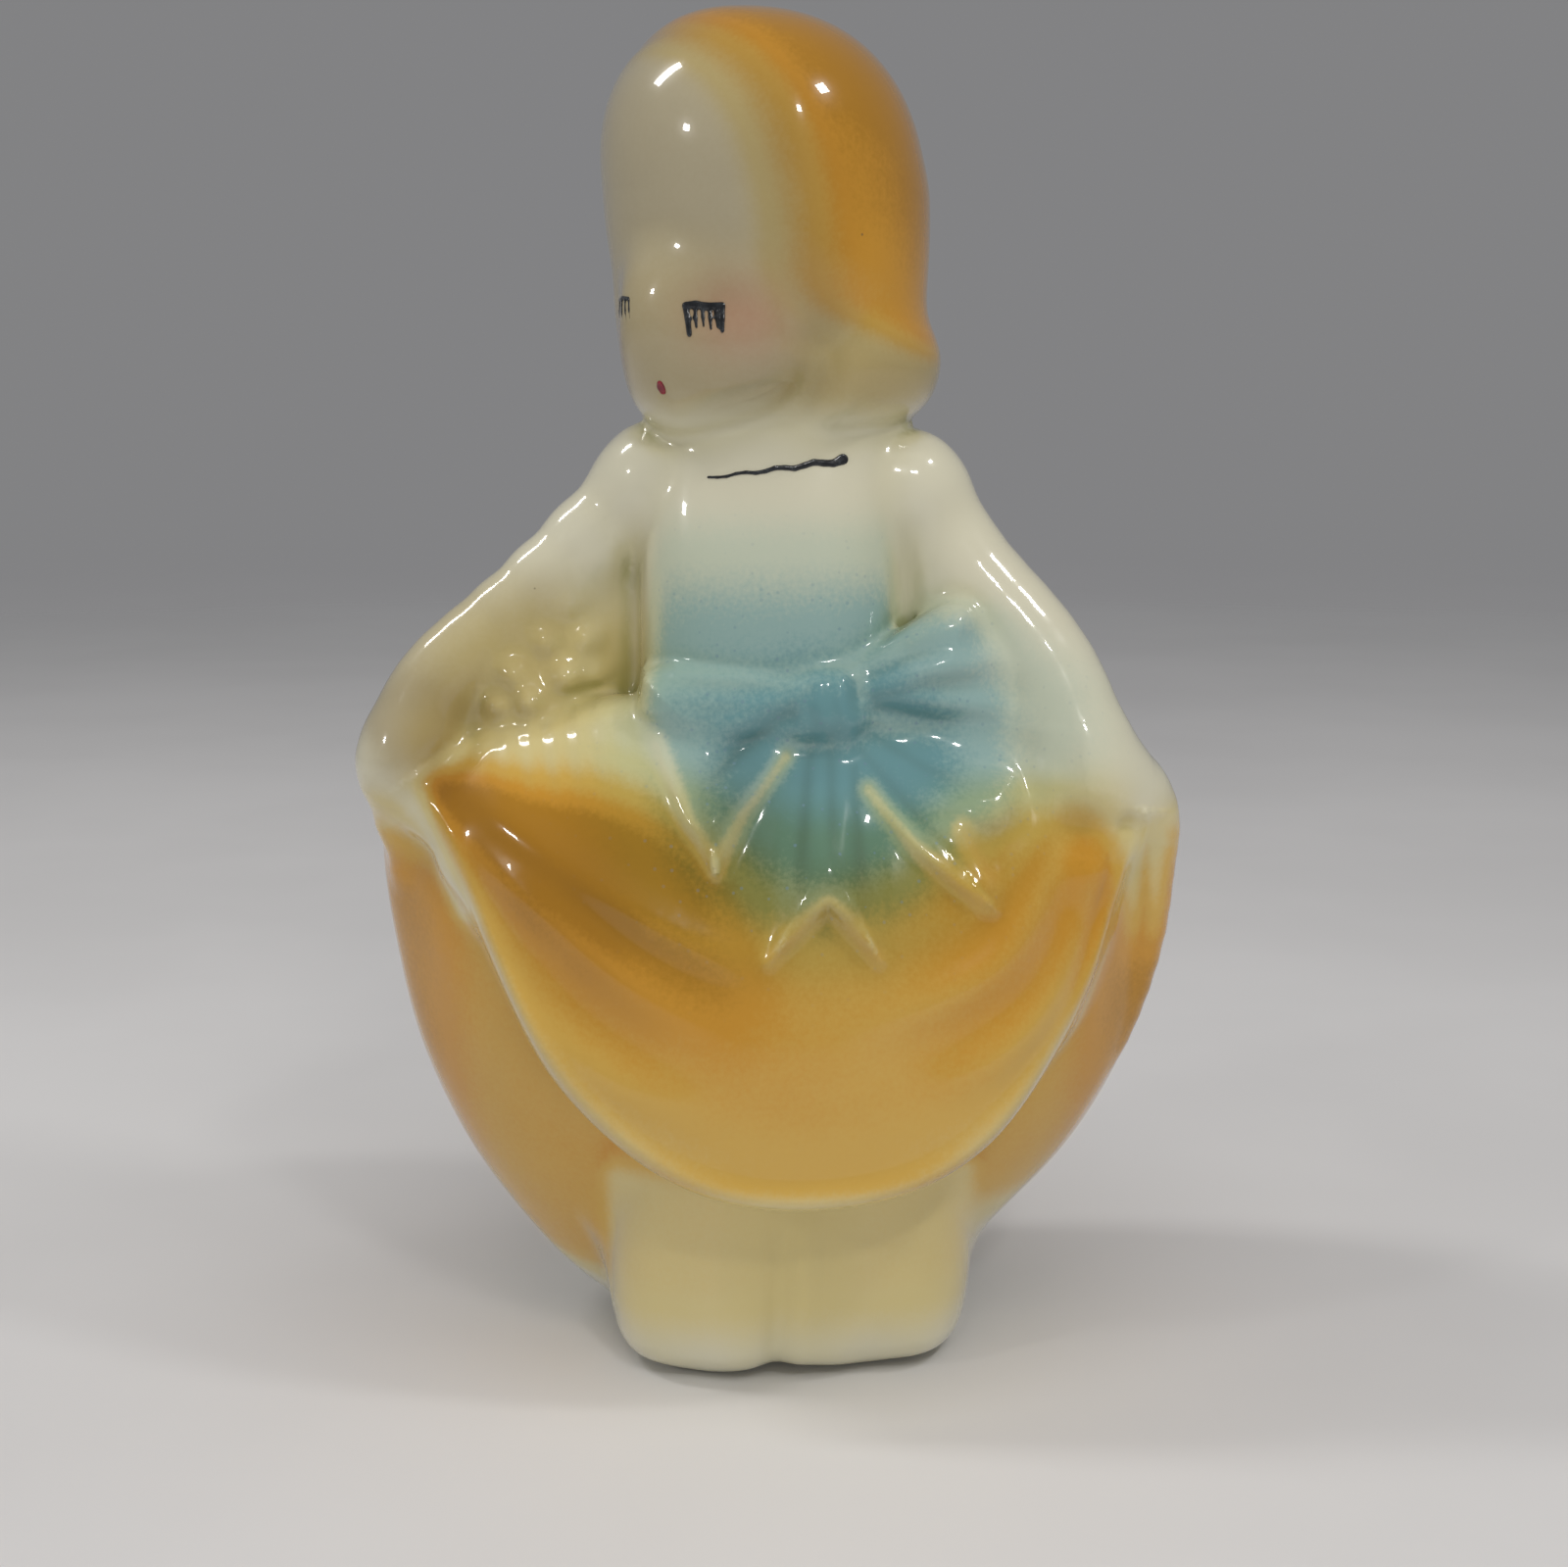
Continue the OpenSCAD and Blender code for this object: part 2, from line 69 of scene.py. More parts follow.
def ramp(t, low, high):
    """A smooth step from 0 at low to 1 at high, which may be the smaller one."""
    s = np.clip((t - low) / (high - low), 0.0, 1.0)
    return s * s * (3.0 - 2.0 * s)


def bell(distance, reach):
    return np.exp(-(distance / reach) ** 2)


def spot(x, z, middle, reach, stretch=(1.0, 1.0)):
    """A soft round or oval spot in the front view."""
    return bell(np.hypot((x - middle[0]) / stretch[0], (z - middle[1]) / stretch[1]), reach)


def bumps(x, z, rows):
    """Soft bumps in the front view. A row has the place, the reach and the height."""
    return sum(height * spot(x, z, (cx, cz), reach) for cx, cz, reach, height in rows)


def join(a, b, fillet):
    """Either of two solids, with a fillet between them."""
    h = np.maximum(fillet - np.abs(a - b), 0.0) / fillet
    return np.minimum(a, b) - h * h * fillet * 0.25


def meet(a, b, fillet):
    """What two solids share, with a rounded edge."""
    return -join(-a, -b, fillet)


def oval(u, v, power):
    """1 on a rounded oval with half axes of 1."""
    return (u ** power + v ** power + TINY) ** (1.0 / power)


def spline(knots, values):
    """A natural cubic curve through the values, flat beyond its ends."""
    t, v = np.array(knots, float), np.array(values, float)
    n, h = len(t), np.diff(t)
    rows, right = np.eye(n), np.zeros(n)
    for i in range(1, n - 1):
        rows[i, i - 1:i + 2] = h[i - 1], 2 * (h[i - 1] + h[i]), h[i]
        right[i] = 6 * ((v[i + 1] - v[i]) / h[i] - (v[i] - v[i - 1]) / h[i - 1])
    m = np.linalg.solve(rows, right)

    def at(u):
        u = np.clip(u, t[0], t[-1])
        i = np.clip(np.searchsorted(t, u) - 1, 0, n - 2)
        a = (t[i + 1] - u) / h[i]
        b = 1.0 - a
        return a * v[i] + b * v[i + 1] + ((a ** 3 - a) * m[i] + (b ** 3 - b) * m[i + 1]) * h[i] ** 2 / 6

    return at


def smooth_line(points, n=24):
    """A smooth curve through a few points, as a finer line."""
    c = np.array(points, float)
    t = np.arange(len(c))
    u = np.linspace(0, len(c) - 1, n)
    return np.stack([spline(t, c[:, k])(u) for k in range(c.shape[1])], axis=1)


def rod(p, a, b):
    """Distance to a straight limb. Each end has a place and a radius."""
    a, b = np.array(a, float), np.array(b, float)
    start, way = a[:3], (b - a)[:3]
    t = np.clip((p - start) @ way / (way @ way), 0.0, 1.0)
    return np.linalg.norm(p - start - t[:, None] * way, axis=1) - (a[3] + (b[3] - a[3]) * t)


def limb(p, line, fillet=3.0):
    """Distance to a bent limb, from its places and radii."""
    d = rod(p, line[0], line[1])
    for a, b in zip(line[1:-1], line[2:]):
        d = join(d, rod(p, a, b), fillet)
    return d


def egg(p, middle, radii):
    """Distance to an ellipsoid, good near its surface."""
    q = (p - middle) / np.array(radii, float)
    k0, k1 = np.linalg.norm(q, axis=1), np.linalg.norm(q / radii, axis=1)
    return k0 * (k0 - 1.0) / np.maximum(k1, TINY)


def slab(y, z, y0, z0, y1, z1):
    """Distance, in the side view, to a straight line that may change from place to place."""
    wy, wz = y1 - y0, z1 - z0
    t = np.clip(((y - y0) * wy + (z - z0) * wz) / (wy * wy + wz * wz), 0.0, 1.0)
    return np.hypot(y - y0 - t * wy, z - z0 - t * wz)


def outline(x, z, corners):
    """Signed distance, in the front view, to a closed polygon."""
    c = np.array(corners, float)
    best = np.full(x.shape, np.inf)
    inside = np.zeros(x.shape, bool)
    for (ax, az), (bx, bz) in zip(c, np.roll(c, -1, axis=0)):
        best = np.minimum(best, slab(x, z, ax, az, bx, bz))
        if bz != az:
            inside ^= ((az > z) != (bz > z)) & (x < ax + (z - az) * (bx - ax) / (bz - az))
    return np.where(inside, -1.0, 1.0) * best


def trace(x, z, points):
    """Distance, in the front view, to an open line, and the share of its length at the nearest place."""
    c = np.array(points, float)
    run = np.concatenate([[0.0], np.cumsum(np.linalg.norm(np.diff(c, axis=0), axis=1))])
    best, share = np.full(x.shape, np.inf), np.zeros(x.shape)
    for i in range(len(c) - 1):
        w = c[i + 1] - c[i]
        t = np.clip(((x - c[i][0]) * w[0] + (z - c[i][1]) * w[1]) / (w @ w), 0.0, 1.0)
        d = (x - c[i][0] - t * w[0]) ** 2 + (z - c[i][1] - t * w[1]) ** 2
        near = d < best
        best = np.where(near, d, best)
        share = np.where(near, (run[i] + t * (run[i + 1] - run[i])) / run[-1], share)
    return np.sqrt(best), share


class Chart:
    """A value at every place of the front view, kept as a fine table."""

    def __init__(self, value, low, high, step=0.2):
        self.low, self.step = np.array(low, float), step
        self.size = np.ceil((np.array(high) - self.low) / step).astype(int) + 1
        x, z = np.meshgrid(*[self.low[k] + step * np.arange(self.size[k]) for k in (0, 1)], indexing="ij")
        self.table = value(x.ravel(), z.ravel()).reshape(self.size)

    def __call__(self, x, z):
        u = np.clip((x - self.low[0]) / self.step, 0, self.size[0] - 1.001)
        v = np.clip((z - self.low[1]) / self.step, 0, self.size[1] - 1.001)
        i, j = u.astype(int), v.astype(int)
        u, v, t = u - i, v - j, self.table
        low = t[i, j] * (1 - u) + t[i + 1, j] * u
        return low * (1 - v) + (t[i, j + 1] * (1 - u) + t[i + 1, j + 1] * u) * v


def inside_box(low, high, margin=5.0):
    """Works a section's distance out only near its box. Further off, the distance to the box will do.

    The margin has to be more than any fillet that the section is joined with.
    """
    low, high = np.array(low, float), np.array(high, float)

    def wrap(section):
        def boxed(p, *rest):
            d = np.linalg.norm(np.maximum(np.maximum(low - p, p - high), 0.0), axis=1)
            near = d < margin
            if near.any():
                d[near] = section(p[near], *[r[near] for r in rest])
            return d
        return boxed

    return wrap


# The pot: the spread skirt

RIM_H, WALL, FLOOR_T = 84.0, 4.5, 6.0
FOOT_ROUND, FLOOR_ROUND, WALL_ROUND, RIM_ROUND = 3.0, 6.0, 1.2, 2.6
POT_LEVELS = [-6, 0, 5.2, 14, 23, 33, 43, 54.5, 63, 72, 80, 88]
pot_half = spline(POT_LEVELS, [10, 18.5, 25.2, 32.8, 40.0, 46.1, 50.2, 52.6, 53.7, 53.8, 51.8, 46.0])
pot_middle = spline(POT_LEVELS, [0, 0, -0.6, -1.3, -0.5, 0.3, 0.7, 0.8, 0.7, 0.4, 0, 0])
pot_back = spline(POT_LEVELS, [20, 22.0, 24.6, 28.6, 31.7, 34.2, 36.0, 37.3, 37.8, 38.0, 37.8, 37.3])
pot_front = spline(POT_LEVELS, [3, 6.0, 9.7, 15.7, 21.2, 26.2, 29.5, 31.0, 30.2, 27.0, 22.2, 17.5])

# Gathers that run down the pot's sides from her hands: middle, reach, foot, front and depth.
FLANK_GATHERS = [(-52, 14, 14, -6, 0.24), (52, 12, 20, -8, 0.4)]
FLANK_BACK, FLANK_FULL_H = 6, 60


def pot_skin(p):
    """Distance to the outside of the pot, as if it were solid and endless."""
    x, y, z = p.T
    over, under = z + 0.5, z - 0.5
    w, reach = pot_half(z), np.where(y < 0, pot_front(z), pot_back(z))
    u, v = (x - pot_middle(z)) / w, y / reach
    rho = np.sqrt(u * u + v * v) + TINY
    grade = np.sqrt((u / w) ** 2 + (v / reach) ** 2) / rho
    aside = pot_half(over) - pot_half(under)
    ahead = np.where(y < 0, pot_front(over) - pot_front(under), pot_back(over) - pot_back(under))
    lean = aside * (u / rho) ** 2 + ahead * (v / rho) ** 2
    return (rho - 1.0) / np.maximum(grade, TINY) / np.sqrt(1.0 + lean * lean)


def flank_folds(p):
    x, y, z = p.T
    wave = np.sin(0.5 * (y + 0.12 * (80 - z)) + 0.9)
    return wave * sum(
        depth * bell(x - middle, reach) * ramp(z, foot, FLANK_FULL_H) * ramp(y, FLANK_BACK, front)
        for middle, reach, foot, front, depth in FLANK_GATHERS)


def pot(p, skin):
    z = p[:, 2]
    outside = meet(skin, -z, FOOT_ROUND)
    inside = meet(skin + WALL, FLOOR_T - z, FLOOR_ROUND)
    return meet(meet(outside, -inside, WALL_ROUND), z - RIM_H, RIM_ROUND)


# Underskirt: two soft lobes, each with its middle, half width and reach

LOBES = [((-8.2, -6.0), 14.4, 21.0), ((14.2, -3.0), 14.2, 21.0)]
LOBE_POWER, LOBE_FILLET, LOBE_TOP, FOOT_TURN = 2.5, 15.0, 41.0, 4.4
PLEAT = [(-20.6, -12.6, 37, 4.2), (-20.4, -13.4, 20, 3.4), (-19.2, -12.6, 7, 2.2)]
LOBE_SINK, CUT_ROUND = 2.2, 0.8
lobe_swell = spline([0, 4, 10, 22, 34, 42], [0.88, 0.95, 0.99, 0.99, 0.955, 0.94])


def lobe_lap(x, y, z):
    """The crease where one lobe laps over the other."""
    across = x - 1.4 - 0.07 * (z - 14)
    lap = 0.5 * bell(across, 2.0) - 0.35 * bell(across - 3.2, 2.2)
    return lap * ramp(z, 34, 10) * ramp(y, -14, -20)


@inside_box((-26, -30, -2), (32, 20, 42))
def underskirt(p, skin):
    x, y, z = p.T
    d, swell = None, lobe_swell(z)
    for (cx, cy), half, reach in LOBES:
        w = half * swell
        u, v = np.abs(x - cx) / w, np.abs(y - cy) / (reach * swell)
        fuller_ahead = 0.9 + 0.5 * (v / (u + v + TINY)) ** 2
        lobe = (oval(u, v, LOBE_POWER) - 1.0) * w * fuller_ahead
        d = lobe if d is None else join(d, lobe, LOBE_FILLET)
    d = join(d, limb(p, PLEAT), 1.6)
    ripple = 0.3 * np.sin(0.5 * x + 0.6) * bell(z - 3, 7)
    uneven_foot = 0.25 * (1 + np.sin(0.33 * x + 1.1))
    d = meet(d + ripple + lobe_lap(x, y, z), uneven_foot - z, FOOT_TURN)
    d = meet(d, z - LOBE_TOP, 2.0)
    return meet(d, -(skin + LOBE_SINK), CUT_ROUND)


# Overskirt: the swag from hand to hand. Its hem and top edge, in the front view

HEM = [(-54, 96), (-49, 84.5), (-44.8, 76.2), (-40.7, 67.7), (-36.4, 58.9), (-30.7, 48.2), (-22.9, 38.9),
       (-13.8, 32.3), (-1.7, 28.4), (10, 28.3), (22, 31.2), (32.4, 38.6), (39, 46.4), (43.4, 54.0),
       (46.4, 62.5), (50, 75), (55, 94)]
SWAG_TOP = [(-56, 76), (-50, 79.0), (-45, 82.6), (-40, 85.6), (-36, 87.4), (-30, 88.8), (-24, 90.4),
            (-18, 91.0), (-8, 89.0), (8, 87), (20, 86), (30, 85), (38, 82.5), (44, 79.0), (50, 77), (56, 75)]
hem_h, swag_top = spline(*zip(*HEM)), spline(*zip(*SWAG_TOP))
SWAG_HALF, SWAG_BACK, SWAG_BELLY, BELLY_RATE = 57.0, 15.6, 22.4, 4.0
HEM_LIP, HEM_ROUND, SWAG_THICK, SWAG_FILLED = 0.9, 3.2, 9.0, 5.0

# Ridges of the folds, in the front view: points, height and half width.
FOLDS = [(smooth_line(points), height, width) for points, height, width in [
    ([(-45, 79.5), (-36.8, 72.1), (-26.9, 65.2), (-17.8, 57.7), (-4, 50.5)], 1.7, 3.5),
    ([(-40, 80.5), (-28.4, 73.3), (-16.2, 66.2), (-7.9, 62.1), (4, 57.5)], 1.6, 3.1),
    ([(-45.0, 76), (-39, 63), (-30, 52), (-17, 43.5), (0, 39)], 1.01, 3.6),
    ([(41, 77), (37.4, 72), (32, 61.7), (21.8, 55.3), (8, 51)], 1.35, 3.4),
    ([(44, 75), (42.6, 69.3), (38.5, 56.2), (30, 47.5), (18, 42)], 1.45, 2.9),
    ([(46.5, 75), (46, 68.3), (43.2, 57), (38, 49.0)], 1.05, 2.1),
    ([(38, 78), (33, 72.5), (27.5, 66.5), (20, 61)], 0.85, 2.4),
]]

# The roll of cloth that her left fist lets out to the side: places and radii.
LEFT_ROLL = smooth_line([(44.5, -13.0, 78.2, 3.6), (48.9, -10.6, 75.4, 5.1), (49.9, -9.2, 68, 4.4),
                         (50.2, -8.4, 59, 3.4), (48.8, -7.8, 49, 2.3), (45.8, -7.4, 40, 1.2)], 14)


def above_hem(x, z, e=0.4):
    """Distance up from the hem, square to it, in the front view."""
    slope = (hem_h(x + e) - hem_h(x - e)) / (2 * e)
    return (z - hem_h(x)) / np.sqrt(1.0 + slope * slope)


def down_swag(x, z):
    """0 at the swag's top edge and 1 at its hem."""
    top = swag_top(x)
    return (top - z) / np.maximum(top - hem_h(x), 5.0)


def gather_turn(x, z):
    """Phase of the small gathers under her right hand."""
    return 1.9 * (x + 0.2 * (z - RIM_H))


def fold_fade(t):
    return ramp(t, -0.02, 0.15) * ramp(t, 1.0, 0.55)


def swag_front(x, z):
    """Depth of the overskirt's front at a place in the front view."""
    v = down_swag(x, z)
    soft = np.minimum(0.5 * (v + np.sqrt(v * v + 0.003)), 1.0)
    across = np.sqrt(np.clip(1.0 - (x / SWAG_HALF) ** 2, 0.06, 1.0))
    belly = (1.0 - np.exp(-BELLY_RATE * soft)) / (1.0 - math.exp(-BELLY_RATE))
    belly = belly * (1.0 - 0.38 * ramp(np.abs(x), 28, 50))
    y = -(SWAG_BACK + SWAG_BELLY * belly) * across
    gathers = 0.24 * np.sin(gather_turn(x, z)) * bell(x + 28, 9) + 0.35 * np.sin(1.2 * x) * bell(x - 37, 7)
    y = y + gathers * ramp(soft, 0.3, 0.08) - HEM_LIP * bell(above_hem(x, z) - 2.2, 1.6)
    for line, height, width in FOLDS:
        d, t = trace(x, z, line)
        y = y - height * fold_fade(t) * (bell(d, width) - 0.35 * bell(d, 2.4 * width))
    return y


def ridge_thin_and_highlight(x, z):
    """How near a place is to the ridge of a fold or to the lip of the hem, where the glaze runs thin. On the
    fold ridges the paler colour is also a painted highlight.
    """
    share = 0.7 * bell(above_hem(x, z) - 1.6, 1.5) + 0.3 * bell(above_hem(x, z) - 4.0, 5.0)
    for line, height, width in FOLDS:
        d, t = trace(x, z, line)
        share = np.maximum(share, 0.4 * height * fold_fade(t) * bell(d, 0.6 * width))
    return np.clip(share, 0, 1)


def swag_steepness(x, z, e=0.4):
    front = swag_front(x, z)
    across, down = (swag_front(x + e, z) - front) / e, (swag_front(x, z + e) - front) / e
    return 1.0 / np.sqrt(1.0 + across ** 2 + down ** 2)


SKIRT_VIEW = ((-62, 20), (62, 96))
swag_chart, swag_lean, swag_ridge_thin_and_highlight = [Chart(value, *SKIRT_VIEW)
                                     for value in (swag_front, swag_steepness, ridge_thin_and_highlight)]


@inside_box((-53, -42, 27), (56, 6, 93), 9.0)
def overskirt(p, skin):
    x, y, z = p.T
    front = swag_chart(x, z)
    d = meet((front - y) * swag_lean(x, z), -above_hem(x, z), HEM_ROUND)
    d = meet(d, y - front - SWAG_THICK - SWAG_FILLED * ramp(z, 70, 50), 2.0)
    d = meet(d, z - swag_top(x), 4.0)
    d = meet(d, np.abs(x - 0.5) - 51.0, 3.0)
    d = join(d, limb(p, LEFT_ROLL, 2.0), 4.0)
    return meet(d, -(skin + 2.0 + 9.0 * ramp(z, 74, 83)), CUT_ROUND)


# Bodice

torso_half = spline([80, 86, 92, 100, 108, 114, 119, 124, 128, 134],
                    [17.4, 17.6, 17.6, 17.5, 17.6, 17.7, 17.4, 16.4, 15.0, 12.0])
torso_middle = spline([100, 116, 126, 134], [0, 0.2, 1.0, 1.0])
torso_front = spline([80, 86, 94, 102, 110, 116, 121, 126, 130, 134],
                     [19.6, 20.2, 20.5, 20.2, 19.2, 17.8, 16.2, 14.2, 12.0, 9.0])
TORSO_BACK, TORSO_TOP, TORSO_FOOT, TORSO_ROUND = 8.5, 130.0, 83.0, 6.0
SQUARE_FRONT, ROUND_BACK = 3.0, 2.3


@inside_box((-20, -22, 82), (22, 10, 136))
def bodice(p):
    x, y, z = p.T
    w, ahead = torso_half(z), y < 0
    reach = np.where(ahead, torso_front(z), TORSO_BACK)
    u, v = np.abs(x - torso_middle(z)) / w, np.abs(y) / reach
    rho = oval(u, v, np.where(ahead, SQUARE_FRONT, ROUND_BACK))
    barrel = (rho - 1.0) * np.minimum(w, np.where(ahead, reach, 9.0)) * 0.95
    d = meet(barrel, z - TORSO_TOP, TORSO_ROUND)
    foot = TORSO_FOOT + 0.7 * np.maximum(y + 6.0, 0.0)
    return meet(d, foot - z, TORSO_ROUND)


# Head and hair

HEAD, HEAD_R = (-0.9, -2.0, 156.0), 21.5
HEAD_LEFT, HEAD_RIGHT, HEAD_FRONT, HEAD_BACK, HEAD_UP, HEAD_DOWN = 20.5, 20.9, 22.6, 21.6, 22.0, 31.0
DOME_POWER, JAW_POWER = 2.4, 2.25
NECK = [(0.5, -2.5, 122.0, 13.0), (0.0, -2.0, 138.0, 13.5)]
# What swells out of the skull, as middle, radii and fillet: lower face, left cheek, chin and nose.
FACE = [((-6.4, -8.6, 137.4), (12.2, 15.0, 11.6), 7.0), ((-2.6, -14.8, 136.2), (8.4, 7.8, 7.4), 4.0),
        ((-11.2, -9.6, 131.8), (6.2, 8.6, 6.4), 4.0), ((-13.6, -16.9, 140.4), (2.6, 2.6, 4.0), 8.0)]
EYES, EYE_DEPTH = [((-7.2, -24.0, 141.0), (5.0, 3.4, 3.0)), ((-18.9, -12.5, 141.0), (3.2, 4.4, 3.0))], 0.5
CHEEK_LINE = smooth_line([(7.4, 136.0), (5.6, 132.0), (-1.5, 128.0)])
CHEEK_DEPTH = 1.7

hair_edge = spline([124, 128, 132, 136, 140, 146, 152, 162, 172, 182],
                   [9.5, 8.6, 7.6, 6.4, 4.4, 2.2, 1.2, 0.6, 0.2, 0])
hair_reach = spline([120, 126, 128.6, 131.6, 134.7, 138, 141, 145, 150, 156, 162],
                    [16, 19.4, 20.9, 22.1, 22.5, 21.5, 20.0, 19.1, 18.9, 18.8, 18.4])
HAIR_RISE, BOB_TOP, BOB_END, BOB_ROUND = 0.75, 158.0, 125.2, 6.0


def skull(p):
    """Distance to the dome, which leans to her right as it rises."""
    x, y, z = (p - HEAD).T
    x = x + np.where(z > 0, 0.1, 0.05) * z
    u = np.abs(x) / np.where(x > 0, HEAD_LEFT, HEAD_RIGHT)
    v = np.abs(y) / np.where(y < 0, HEAD_FRONT, HEAD_BACK)
    t = np.abs(z) / np.where(z > 0, HEAD_UP, HEAD_DOWN)
    return (oval(np.hypot(u, v), t, np.where(z > 0, DOME_POWER, JAW_POWER)) - 1.0) * HEAD_R


def cheek_hollow(p):
    """The hollow between her left cheek and the roll of hair, slanting down under the jaw."""
    x, y, z = p.T
    d, t = trace(x, z, CHEEK_LINE)
    return CHEEK_DEPTH * bell(d, 4.2) * (1.0 - 0.5 * t) * ramp(y, -8, -14)


@inside_box((-25, -28, 118), (23, 22, 182))
def head(p):
    d = skull(p)
    for middle, radii, fillet in FACE:
        d = join(d, egg(p, middle, radii), fillet)
    for middle, size in EYES:
        d = d + EYE_DEPTH * bell(np.linalg.norm((p - middle) / np.array(size), axis=1), 1.0)
    return join(d, rod(p, *NECK), 3.0) + cheek_hollow(p)


def hairline(p):
    """Below zero on the hair's side of the head."""
    x, y, z = p.T
    return -(0.813 * (x - hair_edge(z)) + 0.583 * (y + 23.0))


@inside_box((-25, -27, 124), (27, 24, 183))
def hair(p):
    x, y, z = p.T
    r = hair_reach(z)
    u, v = (x - 0.4) / r, (y - HEAD[1] - 1.0) / (0.98 * r)
    bob = (np.hypot(u, v) - 1.0) * r
    bob = meet(bob, z - BOB_TOP, BOB_ROUND)
    bob = meet(bob, BOB_END - z, BOB_ROUND)
    return meet(join(skull(p) - HAIR_RISE, bob, 4.0), hairline(p), 4.5) + cheek_hollow(p)


# Arms, hands and the webs between arms and bodice. Limbs have places and radii, shoulders and fist an egg

RIGHT_ARM = [(-18.4, -4.5, 116.0, 6.2), (-28.6, -7.2, 106.6, 5.2), (-37.4, -9.8, 98.8, 5.0),
             (-43.3, -11.6, 93.4, 5.0), (-46.6, -12.8, 87.8, 5.1), (-47.8, -13.4, 82.4, 5.6)]
LEFT_ARM = [(21.0, -4.5, 114.6, 6.4), (26.0, -6.0, 107.0, 6.3), (31.2, -8.0, 101.0, 6.4),
            (35.9, -10.0, 95.2, 6.4), (39.4, -12.5, 88.8, 6.1), (41.2, -14.8, 82.0, 5.4)]
RIGHT_SHOULDER = ((-15.4, -5.0, 118.2), (7.6, 8.6, 8.4))
LEFT_SHOULDER = ((18.3, -4.5, 117.2), (8.2, 8.6, 8.4))
RIGHT_SIDE = [(-47.8, -13.4, 82.4, 5.6), (-48.0, -12.0, 78.8, 4.8), (-48.8, -10.4, 73.6, 3.2),
              (-48.6, -9.2, 67.5, 1.2)]
RIGHT_HEM = [(-47.2, -14.2, 81.6, 4.6), (-43.8, -16.6, 76.2, 2.7), (-40.3, -18.9, 70.0, 1.6),
             (-36.8, -20.4, 63.0, 1.0)]
LEFT_FIST = ((43.0, -14.0, 79.6), (6.2, 5.6, 6.6))
LEFT_BUNCH = [(42.4, -15.6, 77.0, 4.6), (41.0, -18.6, 70.0, 2.2)]
SHOULDER_FILLET, HAND_FILLET = 3.0, 4.0

# Hollows pressed into the hands and lumps of gathered cloth on the webs: place, reach and depth or height.
HOLLOWS = [(41.2, 75.2, 3.4, 1.6), (-43.6, 83.0, 2.6, 0.8), (46.6, 75.0, 1.5, 0.8)]
WEB_LUMPS = [(-33.7, 94.2, 2.4, 2.6), (-36.0, 90.0, 1.9, 1.8), (-31.4, 90.6, 2.1, 1.9),
             (-26.4, 93.6, 2.2, 2.1), (-29.3, 98.2, 2.1, 1.8), (-23.8, 98.4, 2.0, 1.6),
             (-26.2, 103.2, 2.1, 1.3), (-22.8, 93.4, 1.6, 0.9), (29.0, 94.0, 3.0, 0.7),
             (33.5, 88.5, 2.6, 0.6)]
WEB_FOOT, WEB_KNEE, WEB_HALF, WEB_INNER = 82.0, 87.5, 2.6, 9.0
WEB_FRONT, WEB_SPREAD = -17.0, 49.0


def arm(p, line, shoulder):
    return join(limb(p, smooth_line(line, 10), 2.0), egg(p, *shoulder), SHOULDER_FILLET)


@inside_box((-57, -22, 74), (-6, 6, 128), 8.0)
def right_arm(p):
    return arm(p, RIGHT_ARM, RIGHT_SHOULDER)


@inside_box((7, -24, 74), (51, 6, 127), 8.0)
def left_arm(p):
    return arm(p, LEFT_ARM, LEFT_SHOULDER)


@inside_box((-57, -28, 50), (-33, -3, 91), 9.0)
def right_hand(p):
    """Her right hand, which runs out into the pot's side and into the hem that it holds."""
    return join(limb(p, RIGHT_SIDE), limb(p, RIGHT_HEM), HAND_FILLET)


@inside_box((33, -26, 66), (52, -6, 90), 9.0)
def left_hand(p):
    """Her left hand, closed on a bunch of cloth."""
    return join(egg(p, *LEFT_FIST), limb(p, LEFT_BUNCH), HAND_FILLET)


def web(p, line, side, inset, inset_end):
    """The recessed wall between an arm, the bodice and the rim. It is bent back at a knee above the rim."""
    x, y, z = p.T
    inner = side * x
    c = smooth_line(line, 40)
    c = c[np.argsort(c[:, 0])]
    arm_y, arm_z = np.interp(x, c[:, 0], c[:, 1]), np.interp(x, c[:, 0], c[:, 2])
    foot_y = WEB_FRONT * np.sqrt(np.clip(1.0 - (x / WEB_SPREAD) ** 2, 0.05, 1.0))
    knee_y = foot_y * (inset + (1.0 - inset) * ramp(inner, 16, inset_end))
    lower = slab(y, z, foot_y, WEB_FOOT, knee_y, WEB_KNEE)
    upper = slab(y, z, knee_y, WEB_KNEE, arm_y + 0.5, arm_z)
    up = np.clip((z - WEB_KNEE) / np.maximum(arm_z - WEB_KNEE, 1.0), 0.0, 1.0)
    ahead = ramp(y - knee_y - (arm_y - knee_y) * up, 1.0, -1.5)
    d = join(lower, upper, 2.0) - WEB_HALF - bumps(x, z, WEB_LUMPS) * ahead
    return meet(meet(d, WEB_INNER - inner, 2.0), inner - abs(line[-1][0]) + 1.0, 2.0)


@inside_box((-50, -22, 76), (-8, 4, 122), 8.0)
def right_web(p):
    return web(p, RIGHT_ARM, -1.0, 0.25, 32)


@inside_box((8, -22, 76), (45, 4, 122), 8.0)
def left_web(p):
    return web(p, LEFT_ARM, 1.0, 0.6, 26)


# Sash and bow

KNOT, KNOT_R = (7.4, -20.9, 90.9), (3.5, 2.4, 4.1)
SASH_H, SASH_HALF, SASH_END = 90.8, 4.3, 7.0
RIBBON_SPREAD, RIBBON_ROUND, RIBBON_DEEP = 0.6, 4.2, 8.0
EDGE_RISE, CREASE_DEPTH, CREASE_SIDE = 0.75, 1.1, 0.4
BOW_VIEW, BOW_STEP = ((-24, 54), (38, 108)), 0.15

